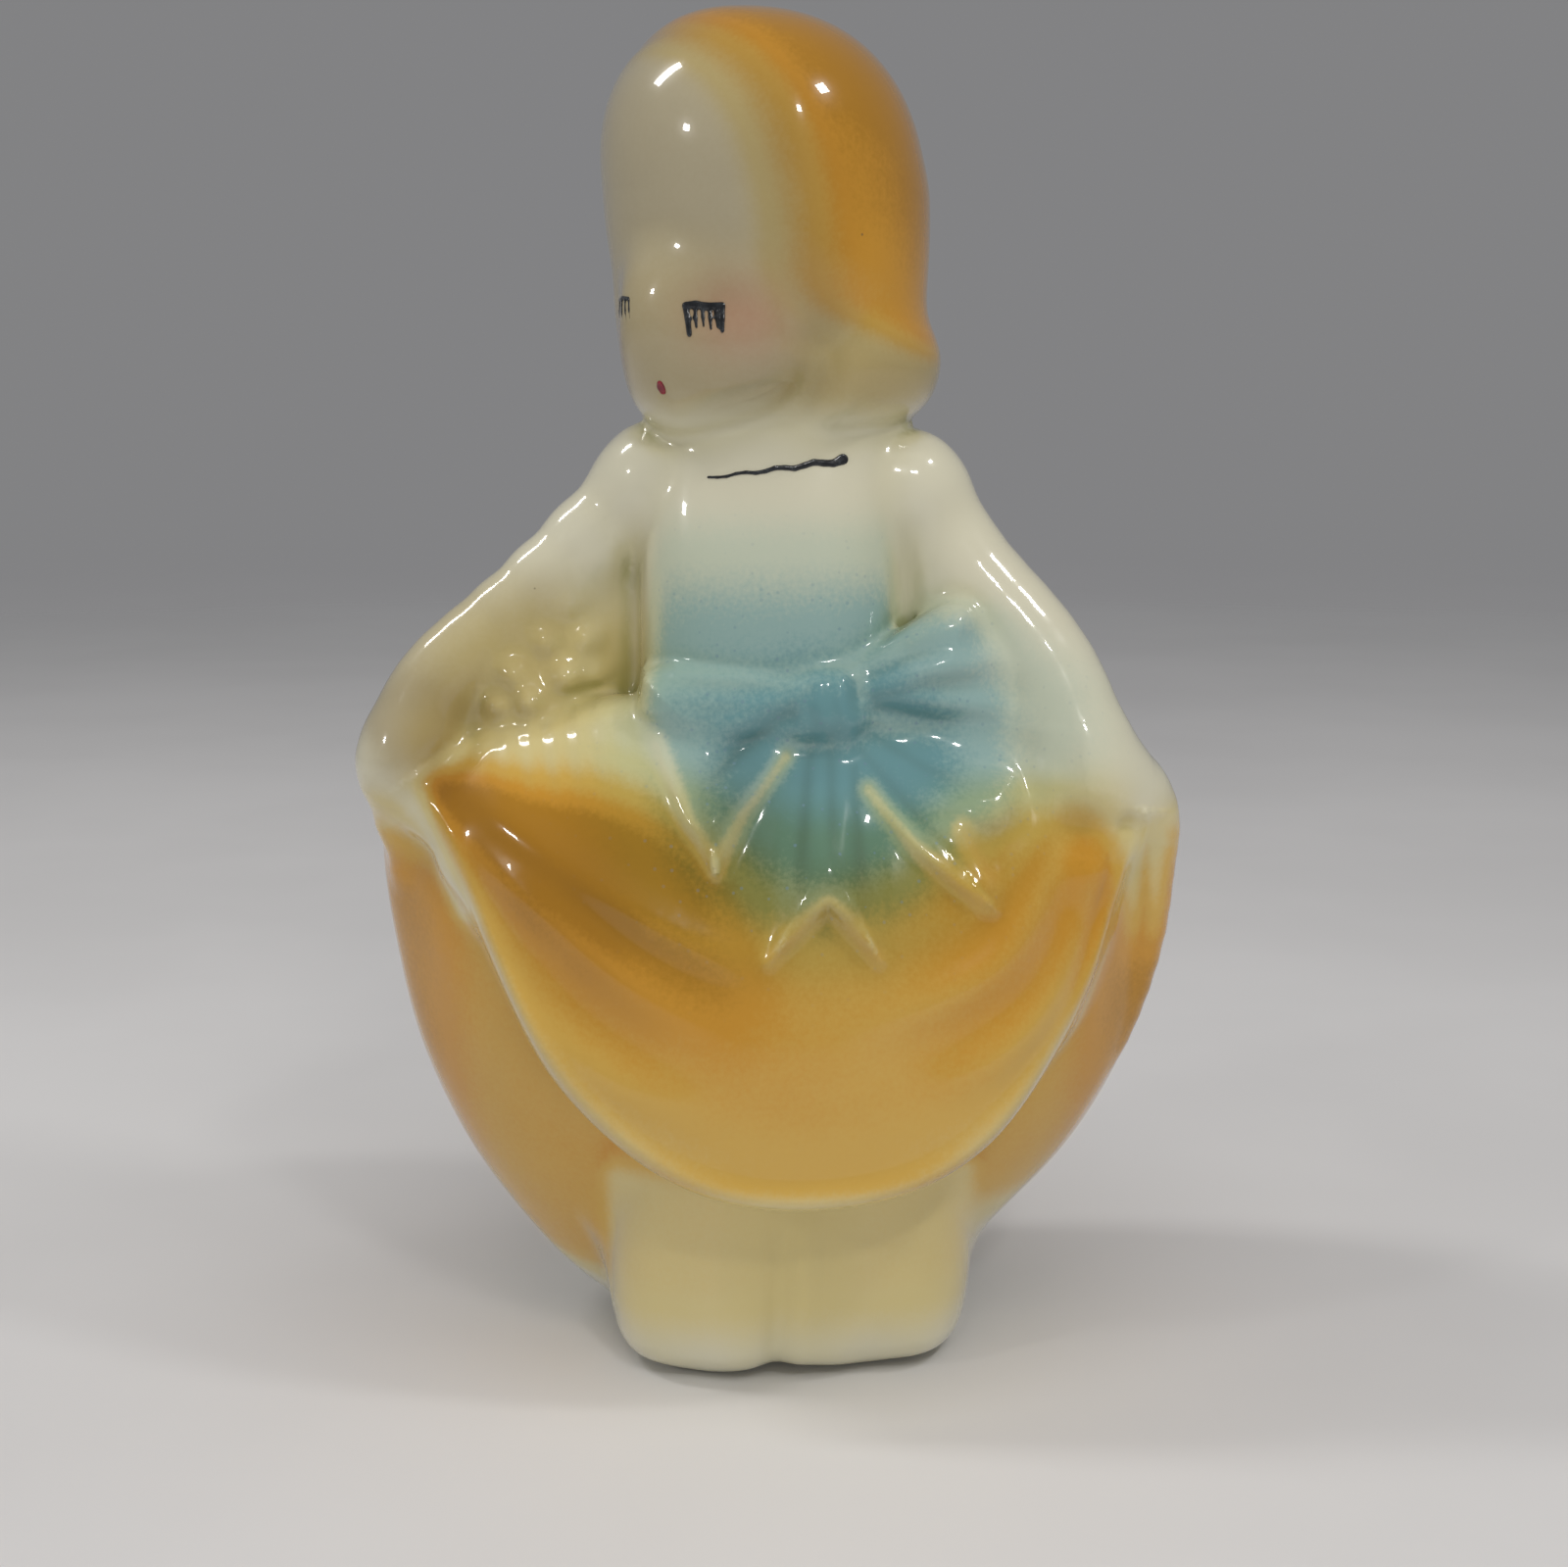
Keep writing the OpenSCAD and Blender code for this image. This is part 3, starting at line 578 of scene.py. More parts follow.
# Each ribbon in the front view: its outline, its thickness, the puff in its middle, its raised pale edges
# and the creases that fan from the knot.
RIBBONS = {
    "bow_right_loop": dict(
        outline=[(5, 93.6), (-4, 94.0), (-12, 95), (-15.8, 94), (-16.4, 90), (-14.4, 84.6), (-10.6, 77),
                 (-6.6, 71.0), (-3.2, 77.6), (2.4, 84.6), (5, 87)],
        thick=1.3, puff=1.6,
        edges=[[(-14.4, 86), (-10.4, 77.2), (-6.6, 71.4)], [(-6.6, 71.4), (-3.2, 77.8), (2.2, 84.4)]],
        creases=[[(3, 90), (-4, 85), (-9, 80)]]),
    "bow_left_loop": dict(
        outline=[(9.5, 94.6), (14, 97.2), (20, 101.0), (24.2, 103.4), (26.6, 102.6), (28.4, 99.6),
                 (32.4, 97.6), (34.0, 93.0), (34.4, 88.4), (33.6, 84.6), (28.6, 83.8), (20.2, 86.6),
                 (14.6, 88.4), (9.5, 89.0)],
        thick=1.5, puff=2.0, edges=[],
        creases=[[(11.5, 94.0), (18, 97.0), (26, 99.0)], [(11.5, 92.2), (20, 93.2), (31, 92.8)],
                 [(11.5, 90.6), (20, 89.4), (29, 87.4)]]),
    "bow_lower_loop": dict(
        outline=[(9.5, 90.0), (15, 88.2), (21, 86.0), (28, 83.8), (33.4, 82.4), (32.4, 76.0), (25.6, 74.0),
                 (17.6, 80.2), (10.5, 85.8)],
        thick=1.4, puff=2.2, edges=[],
        creases=[[(12, 87.6), (20, 83), (28, 80)]]),
    "bow_left_tail": dict(
        outline=[(10.4, 88), (13.5, 85.2), (19, 80.2), (24.6, 76), (28.2, 70), (28.8, 65.8), (25.6, 67.2),
                 (18.4, 73.4), (12.6, 80.4), (9.6, 86)],
        thick=1.3, puff=1.0,
        edges=[[(12.8, 80.6), (18.8, 73.5), (26.8, 66.9)], [(24.6, 75.8), (28.2, 69.6)]],
        creases=[[(12, 85), (18, 78.5), (24.5, 72)]]),
    "bow_centre_tail": dict(
        outline=[(4.6, 89), (4.4, 84.6), (2.8, 73), (0.8, 63), (0.2, 60.6), (7.5, 67.0), (13.9, 60.4),
                 (13.6, 66), (12.2, 78), (11.0, 89)],
        thick=1.3, puff=0.8,
        edges=[[(0.4, 61.2), (7.5, 67.6), (13.7, 61.0)]],
        creases=[[(8.0, 87), (8.1, 78), (8.4, 70)], [(5.5, 86.4), (4.4, 76), (3.2, 66)],
                 [(11.0, 83), (11.5, 75), (12.2, 66)]]),
}


@inside_box((-20, -25, 84), (9, 0, 98))
def sash(p, torso):
    x, y, z = p.T
    middle = SASH_H - 0.02 * (x + 6)
    half = SASH_HALF - 1.0 * bell(x - 6, 6)
    gather = 0.22 * np.sin(1.7 * (z - middle) + 0.5)
    rise = 0.5 + 0.9 * ramp(x, -16, -8)
    d = meet(torso - rise - gather, np.abs(z - middle) - half, 2.6)
    return meet(meet(d, x - SASH_END, 1.0), y + 12.0, 3.0)


@inside_box((1, -30, 84), (15, -16, 99))
def knot(p):
    x, _, z = (p - KNOT).T
    return egg(p, KNOT, KNOT_R) + 0.2 * np.sin(2.1 * x + 0.25 * z) * bell(z, 5.0)


def bow_bed(x, z):
    """Depth of what the ribbons lie on: the overskirt, and above it the bodice and the web."""
    above = -20.6 + 0.0078 * np.clip(x, 0, 40) ** 2
    return above + (swag_front(x, z) - above) * ramp(z, 90.0, 80.0)


def rounded(corners, turns=2):
    """The polygon with its corners cut off, again and again."""
    c = np.array(corners, float)
    for _ in range(turns):
        after = np.roll(c, -1, axis=0)
        c = np.stack([0.75 * c + 0.25 * after, 0.25 * c + 0.75 * after], axis=1).reshape(-1, 2)
    return c


for loop in ("bow_left_loop", "bow_lower_loop"):
    RIBBONS[loop]["outline"] = rounded(RIBBONS[loop]["outline"])


def ribbon_face(x, z, shape):
    """Depth of a ribbon's front at a place in the front view."""
    rise = shape["thick"] + shape["puff"] * ramp(-outline(x, z, shape["outline"]), -2.0, 6.0)
    for line in shape["edges"]:
        rise = rise + EDGE_RISE * bell(trace(x, z, line)[0], 1.3)
    for line in shape["creases"]:
        d, t = trace(x, z, line)
        rise = rise - CREASE_DEPTH * bell(d, 1.5) * ramp(t, 1.0, 0.4) + CREASE_SIDE * bell(d - 3.2, 1.6)
    return bow_bed(x, z) - rise


def pale_share(x, z):
    """How near a place is to the thick edge of a ribbon, where the glaze runs thin."""
    every = [trace(x, z, line)[0] for shape in RIBBONS.values() for line in shape["edges"]]
    return bell(np.min(every, axis=0), 1.4)


def crease_shade_share(x, z):
    """How near a place is to a crease of a ribbon: where the glaze gathers, and where painted shade darkens
    the crease.
    """
    every = [trace(x, z, line) for shape in RIBBONS.values() for line in shape["creases"]]
    return np.max([bell(d, 0.9) * ramp(t, 1.0, 0.5) for d, t in every], axis=0)


ribbon_pale, ribbon_crease_shade = [Chart(value, *BOW_VIEW, BOW_STEP) for value in (pale_share, crease_shade_share)]


def ribbon(shape):
    face = Chart(lambda x, z: ribbon_face(x, z, shape), *BOW_VIEW, BOW_STEP)
    edge = Chart(lambda x, z: outline(x, z, shape["outline"]), *BOW_VIEW, BOW_STEP)

    @inside_box((-20, -42, 56), (35, -8, 104))
    def section(p):
        x, y, z = p.T
        front = face(x, z)
        d = meet((front - y) * 0.85, edge(x, z) - RIBBON_SPREAD, RIBBON_ROUND)
        return meet(d, y - front - RIBBON_DEEP, 1.0)

    return section


ribbons = {name: ribbon(shape) for name, shape in RIBBONS.items()}


# The whole figure

NODES = ["planter_pot", "underskirt", "overskirt", "bodice", "head", "hair", "right_arm", "left_arm",
         "right_hand", "left_hand", "right_gusset", "left_gusset", "sash", "bow_knot", *RIBBONS]
FIGURE_LOW, FIGURE_HIGH = (-60, -44, -4), (60, 42, 183)
PAIR_FILLET, RIBBON_FILLET = 1.0, 2.6


def sections(p):
    """Distance to each cast section on its own."""
    skin, torso = pot_skin(p) + flank_folds(p), bodice(p)
    s = {
        "planter_pot": pot(p, skin), "underskirt": underskirt(p, skin), "overskirt": overskirt(p, skin),
        "bodice": torso, "head": head(p), "hair": hair(p), "right_arm": right_arm(p), "left_arm": left_arm(p),
        "right_hand": right_hand(p), "left_hand": left_hand(p), "right_gusset": right_web(p),
        "left_gusset": left_web(p), "sash": sash(p, torso), "bow_knot": knot(p),
    }
    s.update({name: section(p) for name, section in ribbons.items()})
    return s


def figure(p):
    """Distance to the glazed figure: the sections, with glaze in every joint, and more of it on her left."""
    s = sections(p)
    x, _, z = p.T
    left = ramp(x, 0, 10)
    webs, arms, hands = [join(s["right_" + part], s["left_" + part], PAIR_FILLET)
                         for part in ("gusset", "arm", "hand")]
    bow = s[NODES[-len(RIBBONS)]]
    for name in NODES[1 - len(RIBBONS):]:
        bow = join(bow, s[name], RIBBON_FILLET)
    d = s["planter_pot"]
    for section, fillet in [
        (s["underskirt"], 2.6), (s["overskirt"], 1.6 + 5.0 * ramp(z, 70, 80)), (webs, 2.4 + 3.0 * left),
        (arms, 3.6 + 2.4 * left - 3.0 * ramp(x, 41, 47)), (hands, 4.0 + 3.0 * left),
        (s["bodice"], 2.0 + 0.8 * left), (join(s["head"], s["hair"], 3.4), 2.0), (s["sash"], 1.4),
        (join(bow, s["bow_knot"], 3.6), 1.8),
    ]:
        d = join(d, section, fillet)
    d = d + bumps(x, z, HOLLOWS) * ramp(p[:, 1], -6, -11)
    return meet(d, -z, 0.6)


# From distance field to mesh

TETRA = np.array([[1, -1, -1], [-1, -1, 1], [-1, 1, -1], [1, 1, 1]], float)
CORNERS = np.array([[i, j, k] for i in (0, 1) for j in (0, 1) for k in (0, 1)])
SETTLE_TURNS, RELAX = 3, 0.6


def probe(field, p, e=0.16):
    """Value and slope of the field, from four places round each point."""
    f = np.stack([field(p + way * e) for way in TETRA], axis=1)
    return f.mean(axis=1), f @ TETRA / (4 * e)


def unit(v):
    return v / np.maximum(np.linalg.norm(v, axis=1, keepdims=True), TINY)


def off_skin(field, p):
    """The way from the skin to each point, and the slope there."""
    value, slope = probe(field, p)
    return value[:, None] * slope / np.maximum(np.sum(slope * slope, axis=1, keepdims=True), 0.05), slope


def edge_ends(quads):
    return np.stack([quads, np.roll(quads, -1, axis=1)], axis=2).reshape(-1, 2)


def grid_of(counts):
    return np.stack(np.meshgrid(*[np.arange(n) for n in counts], indexing="ij"), axis=-1).reshape(-1, 3)


def sample(field, low, blocks, block, step):
    """The field on a grid, worked out point by point only in the blocks that the skin may cross."""
    grid = grid_of(blocks)
    rough = field(low + (grid + 0.5) * block * step)
    f = rough.reshape(blocks)
    for axis in range(3):
        f = np.repeat(f, block, axis)
    near = grid[np.abs(rough) < step * block * 1.45 + 1.0]
    index = (near[:, None, :] * block + grid_of([block] * 3)[None]).reshape(-1, 3)
    f[tuple(index.T)] = field(low + index * step)
    return f


def cell_points(f, cells):
    """In each cell that the skin crosses, the mean of where it cuts the cell's edges."""
    value = np.stack([f[tuple((cells + c).T)] for c in CORNERS], axis=1)
    total, hits = np.zeros((len(cells), 3)), np.zeros(len(cells))
    for a in range(8):
        for b in range(a + 1, 8):
            if np.abs(CORNERS[a] - CORNERS[b]).sum() != 1:
                continue
            cut = (value[:, a] < 0) != (value[:, b] < 0)
            t = value[:, a] / np.where(cut, value[:, a] - value[:, b], 1.0)
            total += np.where(cut[:, None], CORNERS[a] + t[:, None] * (CORNERS[b] - CORNERS[a]), 0.0)
            hits += cut
    return cells + total / hits[:, None]


def cell_quads(inside, number):
    """A quad round each grid edge that the skin cuts, facing outwards."""
    quads, last = [], np.array(inside.shape) - 1
    for axis in range(3):
        u, v = (axis + 1) % 3, (axis + 2) % 3
        edges = np.argwhere(inside != np.roll(inside, -1, axis))
        keep = (edges[:, axis] < last[axis]) & (edges[:, u] > 0) & (edges[:, v] > 0)
        edges = edges[keep & (edges[:, u] < last[u]) & (edges[:, v] < last[v])]
        ring = []
        for du, dv in ((-1, -1), (0, -1), (0, 0), (-1, 0)):
            c = edges.copy()
            c[:, u] += du
            c[:, v] += dv
            ring.append(number[tuple(c.T)])
        ring = np.stack(ring, axis=1)
        quads.append(np.where(inside[tuple(edges.T)][:, None], ring, ring[:, ::-1]))
    return np.concatenate(quads)


def relax(points, quads, slope):
    """Moves each point along the skin, towards the middle of the quads round it."""
    centre, flat = points[quads].mean(axis=1), quads.ravel()
    share = np.bincount(flat, minlength=len(points))
    mean = [np.bincount(flat, np.repeat(centre[:, k], 4), len(points)) for k in range(3)]
    pull = np.stack(mean, axis=1) / np.maximum(share, 1)[:, None] - points
    normal = unit(slope)
    return points + RELAX * (pull - normal * np.sum(pull * normal, axis=1, keepdims=True))


def skin_of(field, low, high, step, block=5):
    """Closed quad skin where the field is zero: points, quads and outward normals."""
    low, high = np.array(low, float), np.array(high, float)
    blocks = np.ceil((high - low) / (step * block)).astype(int)
    f = sample(field, low, blocks, block, step)
    inside = f < 0
    last = blocks * block - 1
    count = sum(inside[i:last[0] + i, j:last[1] + j, k:last[2] + k].astype(np.int8) for i, j, k in CORNERS)
    cells = np.argwhere((count > 0) & (count < 8))
    number = np.full(count.shape, -1, np.int64)
    number[tuple(cells.T)] = np.arange(len(cells))
    points, quads = low + cell_points(f, cells) * step, cell_quads(inside, number)
    for turn in range(SETTLE_TURNS):
        move, slope = off_skin(field, points)
        far = np.linalg.norm(move, axis=1, keepdims=True)
        points = points - move * np.minimum(1.0, 0.6 * step / np.maximum(far, TINY))
        if turn < SETTLE_TURNS - 1:
            points = relax(points, quads, slope)
    return points, quads, unit(probe(field, points)[1])


def neighbours(quads):
    """Pairs of faces that share an edge."""
    key, face = np.sort(edge_ends(quads), axis=1), np.repeat(np.arange(len(quads)), 4)
    order = np.lexsort((key[:, 1], key[:, 0]))
    key, face = key[order], face[order]
    same = np.all(key[1:] == key[:-1], axis=1)
    return np.stack([face[:-1][same], face[1:][same]], axis=1)


def islands(label, pairs):
    """A number for each island of faces that have one label and hang together."""
    group = np.arange(len(label))
    alike = pairs[label[pairs[:, 0]] == label[pairs[:, 1]]]
    while True:
        low = np.minimum(group[alike[:, 0]], group[alike[:, 1]])
        new = group.copy()
        np.minimum.at(new, alike[:, 0], low)
        np.minimum.at(new, alike[:, 1], low)
        new = new[new]
        if np.array_equal(new, group):
            return group
        group = new


def tidy_labels(label, pairs, rounds=4, turns=40):
    """Gives stray islands of a label to the section round them."""
    for _ in range(rounds):
        group = islands(label, pairs)
        sizes = np.bincount(group, minlength=len(label))
        biggest = {n: group[label == n][np.argmax(sizes[group[label == n]])] for n in np.unique(label)}
        stray = group != np.array([biggest.get(n, -1) for n in range(label.max() + 1)])[label]
        if not stray.any():
            break
        for _ in range(turns):
            edge = pairs[stray[pairs[:, 0]] != stray[pairs[:, 1]]]
            if not len(edge):
                break
            swap = stray[edge[:, 0]]
            lost, kept = np.where(swap, edge[:, 0], edge[:, 1]), np.where(swap, edge[:, 1], edge[:, 0])
            label[lost] = label[kept]
            stray[lost] = False
    return label


def refine(points, quads):
    """Splits every quad in four. New points go on to the skin, except on the patch's border."""
    key, which, times = np.unique(np.sort(edge_ends(quads), axis=1), axis=0,
                                  return_inverse=True, return_counts=True)
    middle, centre = points[key].mean(axis=1), points[quads].mean(axis=1)
    free = np.concatenate([times > 1, np.ones(len(centre), bool)])
    new = np.concatenate([middle, centre])
    for _ in range(2):
        new[free] -= off_skin(figure, new[free])[0]
    m = len(points) + which.reshape(-1, 4)
    c = len(points) + len(middle) + np.arange(len(quads))
    four = [np.stack([quads[:, k], m[:, k], c, m[:, k - 1]], axis=1) for k in range(4)]
    return np.concatenate([points, new]), np.concatenate(four)


# Airbrushed colour, glaze and painted shade, as amounts at each point. Spots have a middle, a reach and a
# stretch

hair_paint = spline([126, 140, 150, 160, 170, 176, 182], [9.6, 6.8, 4.8, 2.4, -1.6, -5.6, -9.6])
RIGHT_ROLL = [(-49.5, 92.0), (-49.5, 82.0), (-46.2, 78.0), (-42.8, 71.0), (-39.6, 64.0)]
FRONT, BEHIND, FRONT_OF_HANDS, FRONT_OF_WEB = (12, -4), (-12, -2), (2, -6), (0, -6)
FRONT_OF_TORSO, FRONT_OF_BOW, ROUND_BOW = (-8, -15), (-14, -18), (-14, -20)
NECK_H, FOOT_X = (124, 132), 3

LEFT_WRIST, OLIVE, POCKET = ((48, 79), 7.5), ((-6, 68), 8, (1.4, 1.0)), ((-30, 94), 11, (1.4, 1.0))
RIGHT_CORNER, LEFT_CORNER, DIMPLE = ((-42, 84), 6), ((41, 76.5), 6.5), ((41.2, 75.2), 3.2)
BLUE_BOW, BLUE_TAILS = ((11, 88), 12.5, (1.75, 1.1)), ((6, 75), 12.5, (1.45, 1.0))
BLUE_LOOP = ((22, 100), 5.0, (1.5, 0.8))
# Painted shade, where less light falls on the figure: amount, depth and spot.
SHADES = [(0.2, ROUND_BOW, ((8, 71), 9, (1.6, 1.0))), (1.05, FRONT_OF_HANDS, ((-46, 86), 7)),
          (0.5, ROUND_BOW, ((-4, 80), 8))]
# Blush: amount, middle, stretch and reach.
CHEEKS = [(0.62, (-3.4, -23.0, 139.8), (1.4, 2.0, 1.1), 6.0),
          (0.45, (-19.0, -12.5, 136.5), (1.0, 1.0, 1.0), 4.6)]
THIN_PROBE, POOL_AND_SHADE_PROBE = 1.1, 2.6


def pale_hands(x, y, z):
    """Where the gold was kept off her hands and off the cloth that runs out of them."""
    left = trace(x, z, LEFT_ROLL[:, [0, 2]])[0]
    left = 0.7 * bell(left - 1.5, 2.2) * ramp(z, 50, 66) * ramp(x, 44, 48)
    right = np.maximum(bell(trace(x, z, RIGHT_ROLL)[0], 2.0), spot(x, z, *LEFT_WRIST))
    return np.maximum(right, left) * ramp(y, *FRONT_OF_HANDS)


def skirt_share(x, y, z):
    """Where the skirt was sprayed: swag and pot, less her hands, the foot and the underskirt."""
    behind, ends = ramp(y, *BEHIND), ramp(np.abs(x), 42, 47)
    start = 0.04 - 0.06 * ramp(x, 14, 26)
    swag = ramp((down_swag(x, z) - start) / 0.36, 0.0, 1.0)
    swag = swag * (1.0 - ends) + ramp(z, 83, 62) * ends
    share = swag * (1.0 - behind) + ramp(z, 87, 66) * behind
    turn = np.maximum(ramp(x, -10, 20), ramp(y, -10, 10))
    foot = ramp(z, 4 + 8 * turn, 14 + 14 * turn)
    beside_lobes = ramp(np.abs(x - FOOT_X), 23, 27) + ramp(z, 27, 33) + ramp(y, -12, 4)
    return share * foot * (1.0 - 0.85 * pale_hands(x, y, z)) * np.clip(beside_lobes, 0, 1)


def skirt_gold(x, y, z):
    """Strength of the skirt's gold: deeper in a band at her right and on the flanks, paler by the hem."""
    v, ahead = down_swag(x, z), 1.0 - ramp(y, *BEHIND)
    band = bell(v - 0.32, 0.24) * ramp(x, 6, -12) * ramp(x, -46, -33) * ramp(y, *FRONT)
    gold = 0.58 + 0.24 * ramp(v, 0.9, 0.2) * ramp(x, 20, -30) + 0.75 * band
    gold = gold + 0.34 * ramp(np.abs(x), 36, 50) - 0.42 * spot(x, z, *OLIVE)
    at_left = 0.16 * ramp(x, 12, 30) * ramp(v, 0.9, 0.5)
    return gold + ahead * (at_left + 0.12 * ramp(v, 1.0, 1.06) - 0.12 * ramp(v, 0.75, 0.95))


def head_gold_and_shade(x, y, z):
    """Gold and painted shade on the head: the gold has a soft edge from the face into the hair and ends above
    the roll; the painted shade darkens the whole head, with less of it on the hair.
    """
    edge = x - hair_paint(z) + 0.55 * (y + 20.0)
    above = ramp(z + 0.35 * (x - 10) * ramp(y, 8, -8), 136, 143)
    hair = 0.34 * ramp(edge, -11, -1) + 0.12 * ramp(edge, 6, 20)
    hair = hair + ramp(edge, -3, 7) * (0.35 + 0.14 * ramp(z, 158, 170) - 0.2 * ramp(z, 154, 142))
    face = 0.04 + 0.05 * ramp(z, 154, 143) + 0.12 * ramp(edge, -12, 4)
    painted_shade = 0.86 - (0.45 + 0.2 * ramp(z, 158, 146)) * ramp(edge, -5, 8) * above
    return above * hair + ramp(z, *NECK_H) * face, ramp(z, *NECK_H) * painted_shade


def blue_spray(x, y, z):
    """Blue of the sash and bow, which fades out up the bodice."""
    blue = spot(x, z, *BLUE_BOW) + 0.85 * spot(x, z, *BLUE_TAILS)
    blue = blue * ramp(z, 108, 92) + 0.5 * spot(x, z, *BLUE_LOOP)
    faded = 0.66 * ramp(z, 121, 96) * ramp(np.abs(x - 1), 19, 13) * ramp(z, 82, 92)
    blue = blue + faded * (1.0 - np.clip(blue, 0, 1))
    return np.clip(blue, 0, 1.1) * ramp(y, *FRONT_OF_TORSO)


def paint(p, n):
    """Amounts of pigment, of glaze and of painted shade at points of the skin with these normals."""
    x, y, z = p.T
    front, ahead = ramp(y, *FRONT), 1.0 - ramp(y, *BEHIND)
    outside = ramp(pot_skin(p), -3.0, -0.8)
    cover = np.maximum(outside, ramp(z, RIM_H, RIM_H + 2))
    skirt = skirt_share(x, y, z) * outside
    head_gold, head_shade = head_gold_and_shade(x, y, z)
    blue = blue_spray(x, y, z) * cover
    pocket = spot(x, z, *POCKET) * ramp(y, *FRONT_OF_WEB)
    corners = (spot(x, z, *RIGHT_CORNER) + spot(x, z, *LEFT_CORNER)) * ramp(y, *FRONT_OF_HANDS)
    ribs = (0.5 + 0.5 * np.sin(gather_turn(x, z) + 1.4)) * bell(x + 29, 9) * bell(z - 83.5, 4.5) * ahead
    lobes = ramp(z, 38, 26) * ramp(z, 1, 16) * front * ramp(np.abs(x - FOOT_X), 27, 23)

    gold = skirt * skirt_gold(x, y, z) + head_gold + 0.28 * lobes
    gold = gold + (0.07 * ribs + 0.24 * pocket + 0.2 * corners) * cover
    # Paler gold on the fold ridges and the hem's lip: thin glaze, and on the folds also a painted highlight.
    gold = gold * (1.0 - 0.3 * swag_ridge_thin_and_highlight(x, z) * ahead * ramp(z, 88, 80))
    gold = gold * (1.0 - 0.42 * np.clip(blue, 0, 1) * ramp(z, 66, 84))
    pale = ribbon_pale(x, z) * ramp(y, *FRONT_OF_BOW) * cover
    gold = gold + (0.16 * ramp(x, -6, 4) - 0.3 * gold) * pale
    blue = blue * (1.0 - 0.62 * pale)
    blush = sum(amount * bell(np.linalg.norm((p - middle) / np.array(stretch), axis=1), reach)
                for amount, middle, stretch, reach in CHEEKS)

    # Painted shade: a grey that darkens the head, the spots in SHADES, the ribbons' creases, her right arm
    # and the skirt, most of all the band at her right, where less light falls.
    shade = head_shade + sum(amount * spot(x, z, *place) * ramp(y, *depth) for amount, depth, place in SHADES)
    shade = shade + 0.3 * ribbon_crease_shade(x, z) * ramp(y, *FRONT_OF_BOW) * cover
    shade = shade + 0.5 * ramp(x, -20, -30) * ramp(z, 84, 90) * ramp(z, 114, 102)
    band = ramp(down_swag(x, z), 0.85, 0.5) * ramp(x, -10, -24)
    shade = shade + skirt * ahead * (0.28 + 0.3 * band)

    # Glaze that pools in hollows darkens them; painted shade is added in the pocket by her right arm and in
    # the dimple of her left hand.
    hollow_shade = 0.4 * pocket + 0.5 * spot(x, z, *DIMPLE) * front
    pool_and_shade = np.clip(1.0 - figure(p + n * POOL_AND_SHADE_PROBE) / POOL_AND_SHADE_PROBE + hollow_shade, 0, 1)
    pool_and_shade = pool_and_shade * (1.0 - 0.6 * np.clip(blue, 0, 1))
    thin = np.clip(1.0 + figure(p - n * THIN_PROBE) / THIN_PROBE, 0, 1)
    return {"gold": gold, "blue": blue, "blush": blush, "pool_and_shade": pool_and_shade, "shade": shade, "thin": thin}


# Materials

class Graph:
    """Short calls that add shader nodes and link them."""

    def __init__(self, name):
        self.material = bpy.data.materials.new(name)
        self.material.use_nodes = True
        self.nodes, self.links = self.material.node_tree.nodes, self.material.node_tree.links
        self.nodes.clear()

    def add(self, kind, **values):
        node = self.nodes.new(kind)
        for key, value in values.items():
            setattr(node, key, value)
        return node

    def put(self, node, **sockets):
        """Links or sets the sockets of these names, with underscores for spaces."""
        for name, value in sockets.items():
            socket = node.inputs[name.replace("_", " ")]
            if hasattr(value, "links"):
                self.links.new(value, socket)
            else:
                socket.default_value = value
        return node

    def math(self, operation, *values, clamp=False):
        node = self.add("ShaderNodeMath", operation=operation, use_clamp=clamp)
        for socket, value in zip(node.inputs, values):
            if hasattr(value, "links"):
                self.links.new(value, socket)
            else:
                socket.default_value = value
        return node.outputs[0]

    def place(self):
        return self.add("ShaderNodeTexCoord").outputs["Object"]

    def attribute(self, name):
        return self.add("ShaderNodeAttribute", attribute_name=name).outputs["Fac"]

    def noise(self, where, scale, detail, rough):
        node = self.add("ShaderNodeTexNoise")
        return self.put(node, Vector=where, Scale=scale, Detail=detail, Roughness=rough).outputs["Fac"]

    def ramp(self, value, stops):
        node = self.add("ShaderNodeValToRGB")
        node.color_ramp.interpolation = "EASE"
        while len(node.color_ramp.elements) < len(stops):
            node.color_ramp.elements.new(0.5)
        for element, (place, colour) in zip(node.color_ramp.elements, stops):
            element.position, element.color = place, (*colour, 1.0)
        return self.put(node, Fac=value).outputs["Color"]

    def mix(self, share, a, b, blend="MIX"):
        node = self.add("ShaderNodeMix", data_type="RGBA", blend_type=blend)
        return self.put(node, Factor=share, A=a, B=b).outputs["Result"]

    def specks(self, where, scale, size, share):
        """Dots of this size, in metres, in a share of the cells of a grid of points."""
        cell = self.put(self.add("ShaderNodeTexVoronoi", feature="F1"), Scale=scale, Vector=where)
        split = self.put(self.add("ShaderNodeSeparateColor"), Color=cell.outputs["Color"])
        chosen = self.math("LESS_THAN", split.outputs[0], share)
        far = self.math("DIVIDE", cell.outputs["Distance"], size * scale)
        dot = self.math("SUBTRACT", 1.0, far, clamp=True)
        return self.math("MULTIPLY", self.math("MULTIPLY", dot, SPECK_EDGE, clamp=True), chosen)

    def principled(self, **sockets):
        return self.put(self.add("ShaderNodeBsdfPrincipled"), **sockets).outputs["BSDF"]

    def bump(self, height, strength, distance):
        node = self.add("ShaderNodeBump")
        return self.put(node, Height=height, Strength=strength, Distance=distance).outputs["Normal"]

    def finish(self, surface):
        self.put(self.add("ShaderNodeOutputMaterial"), Surface=surface)
        return self.material


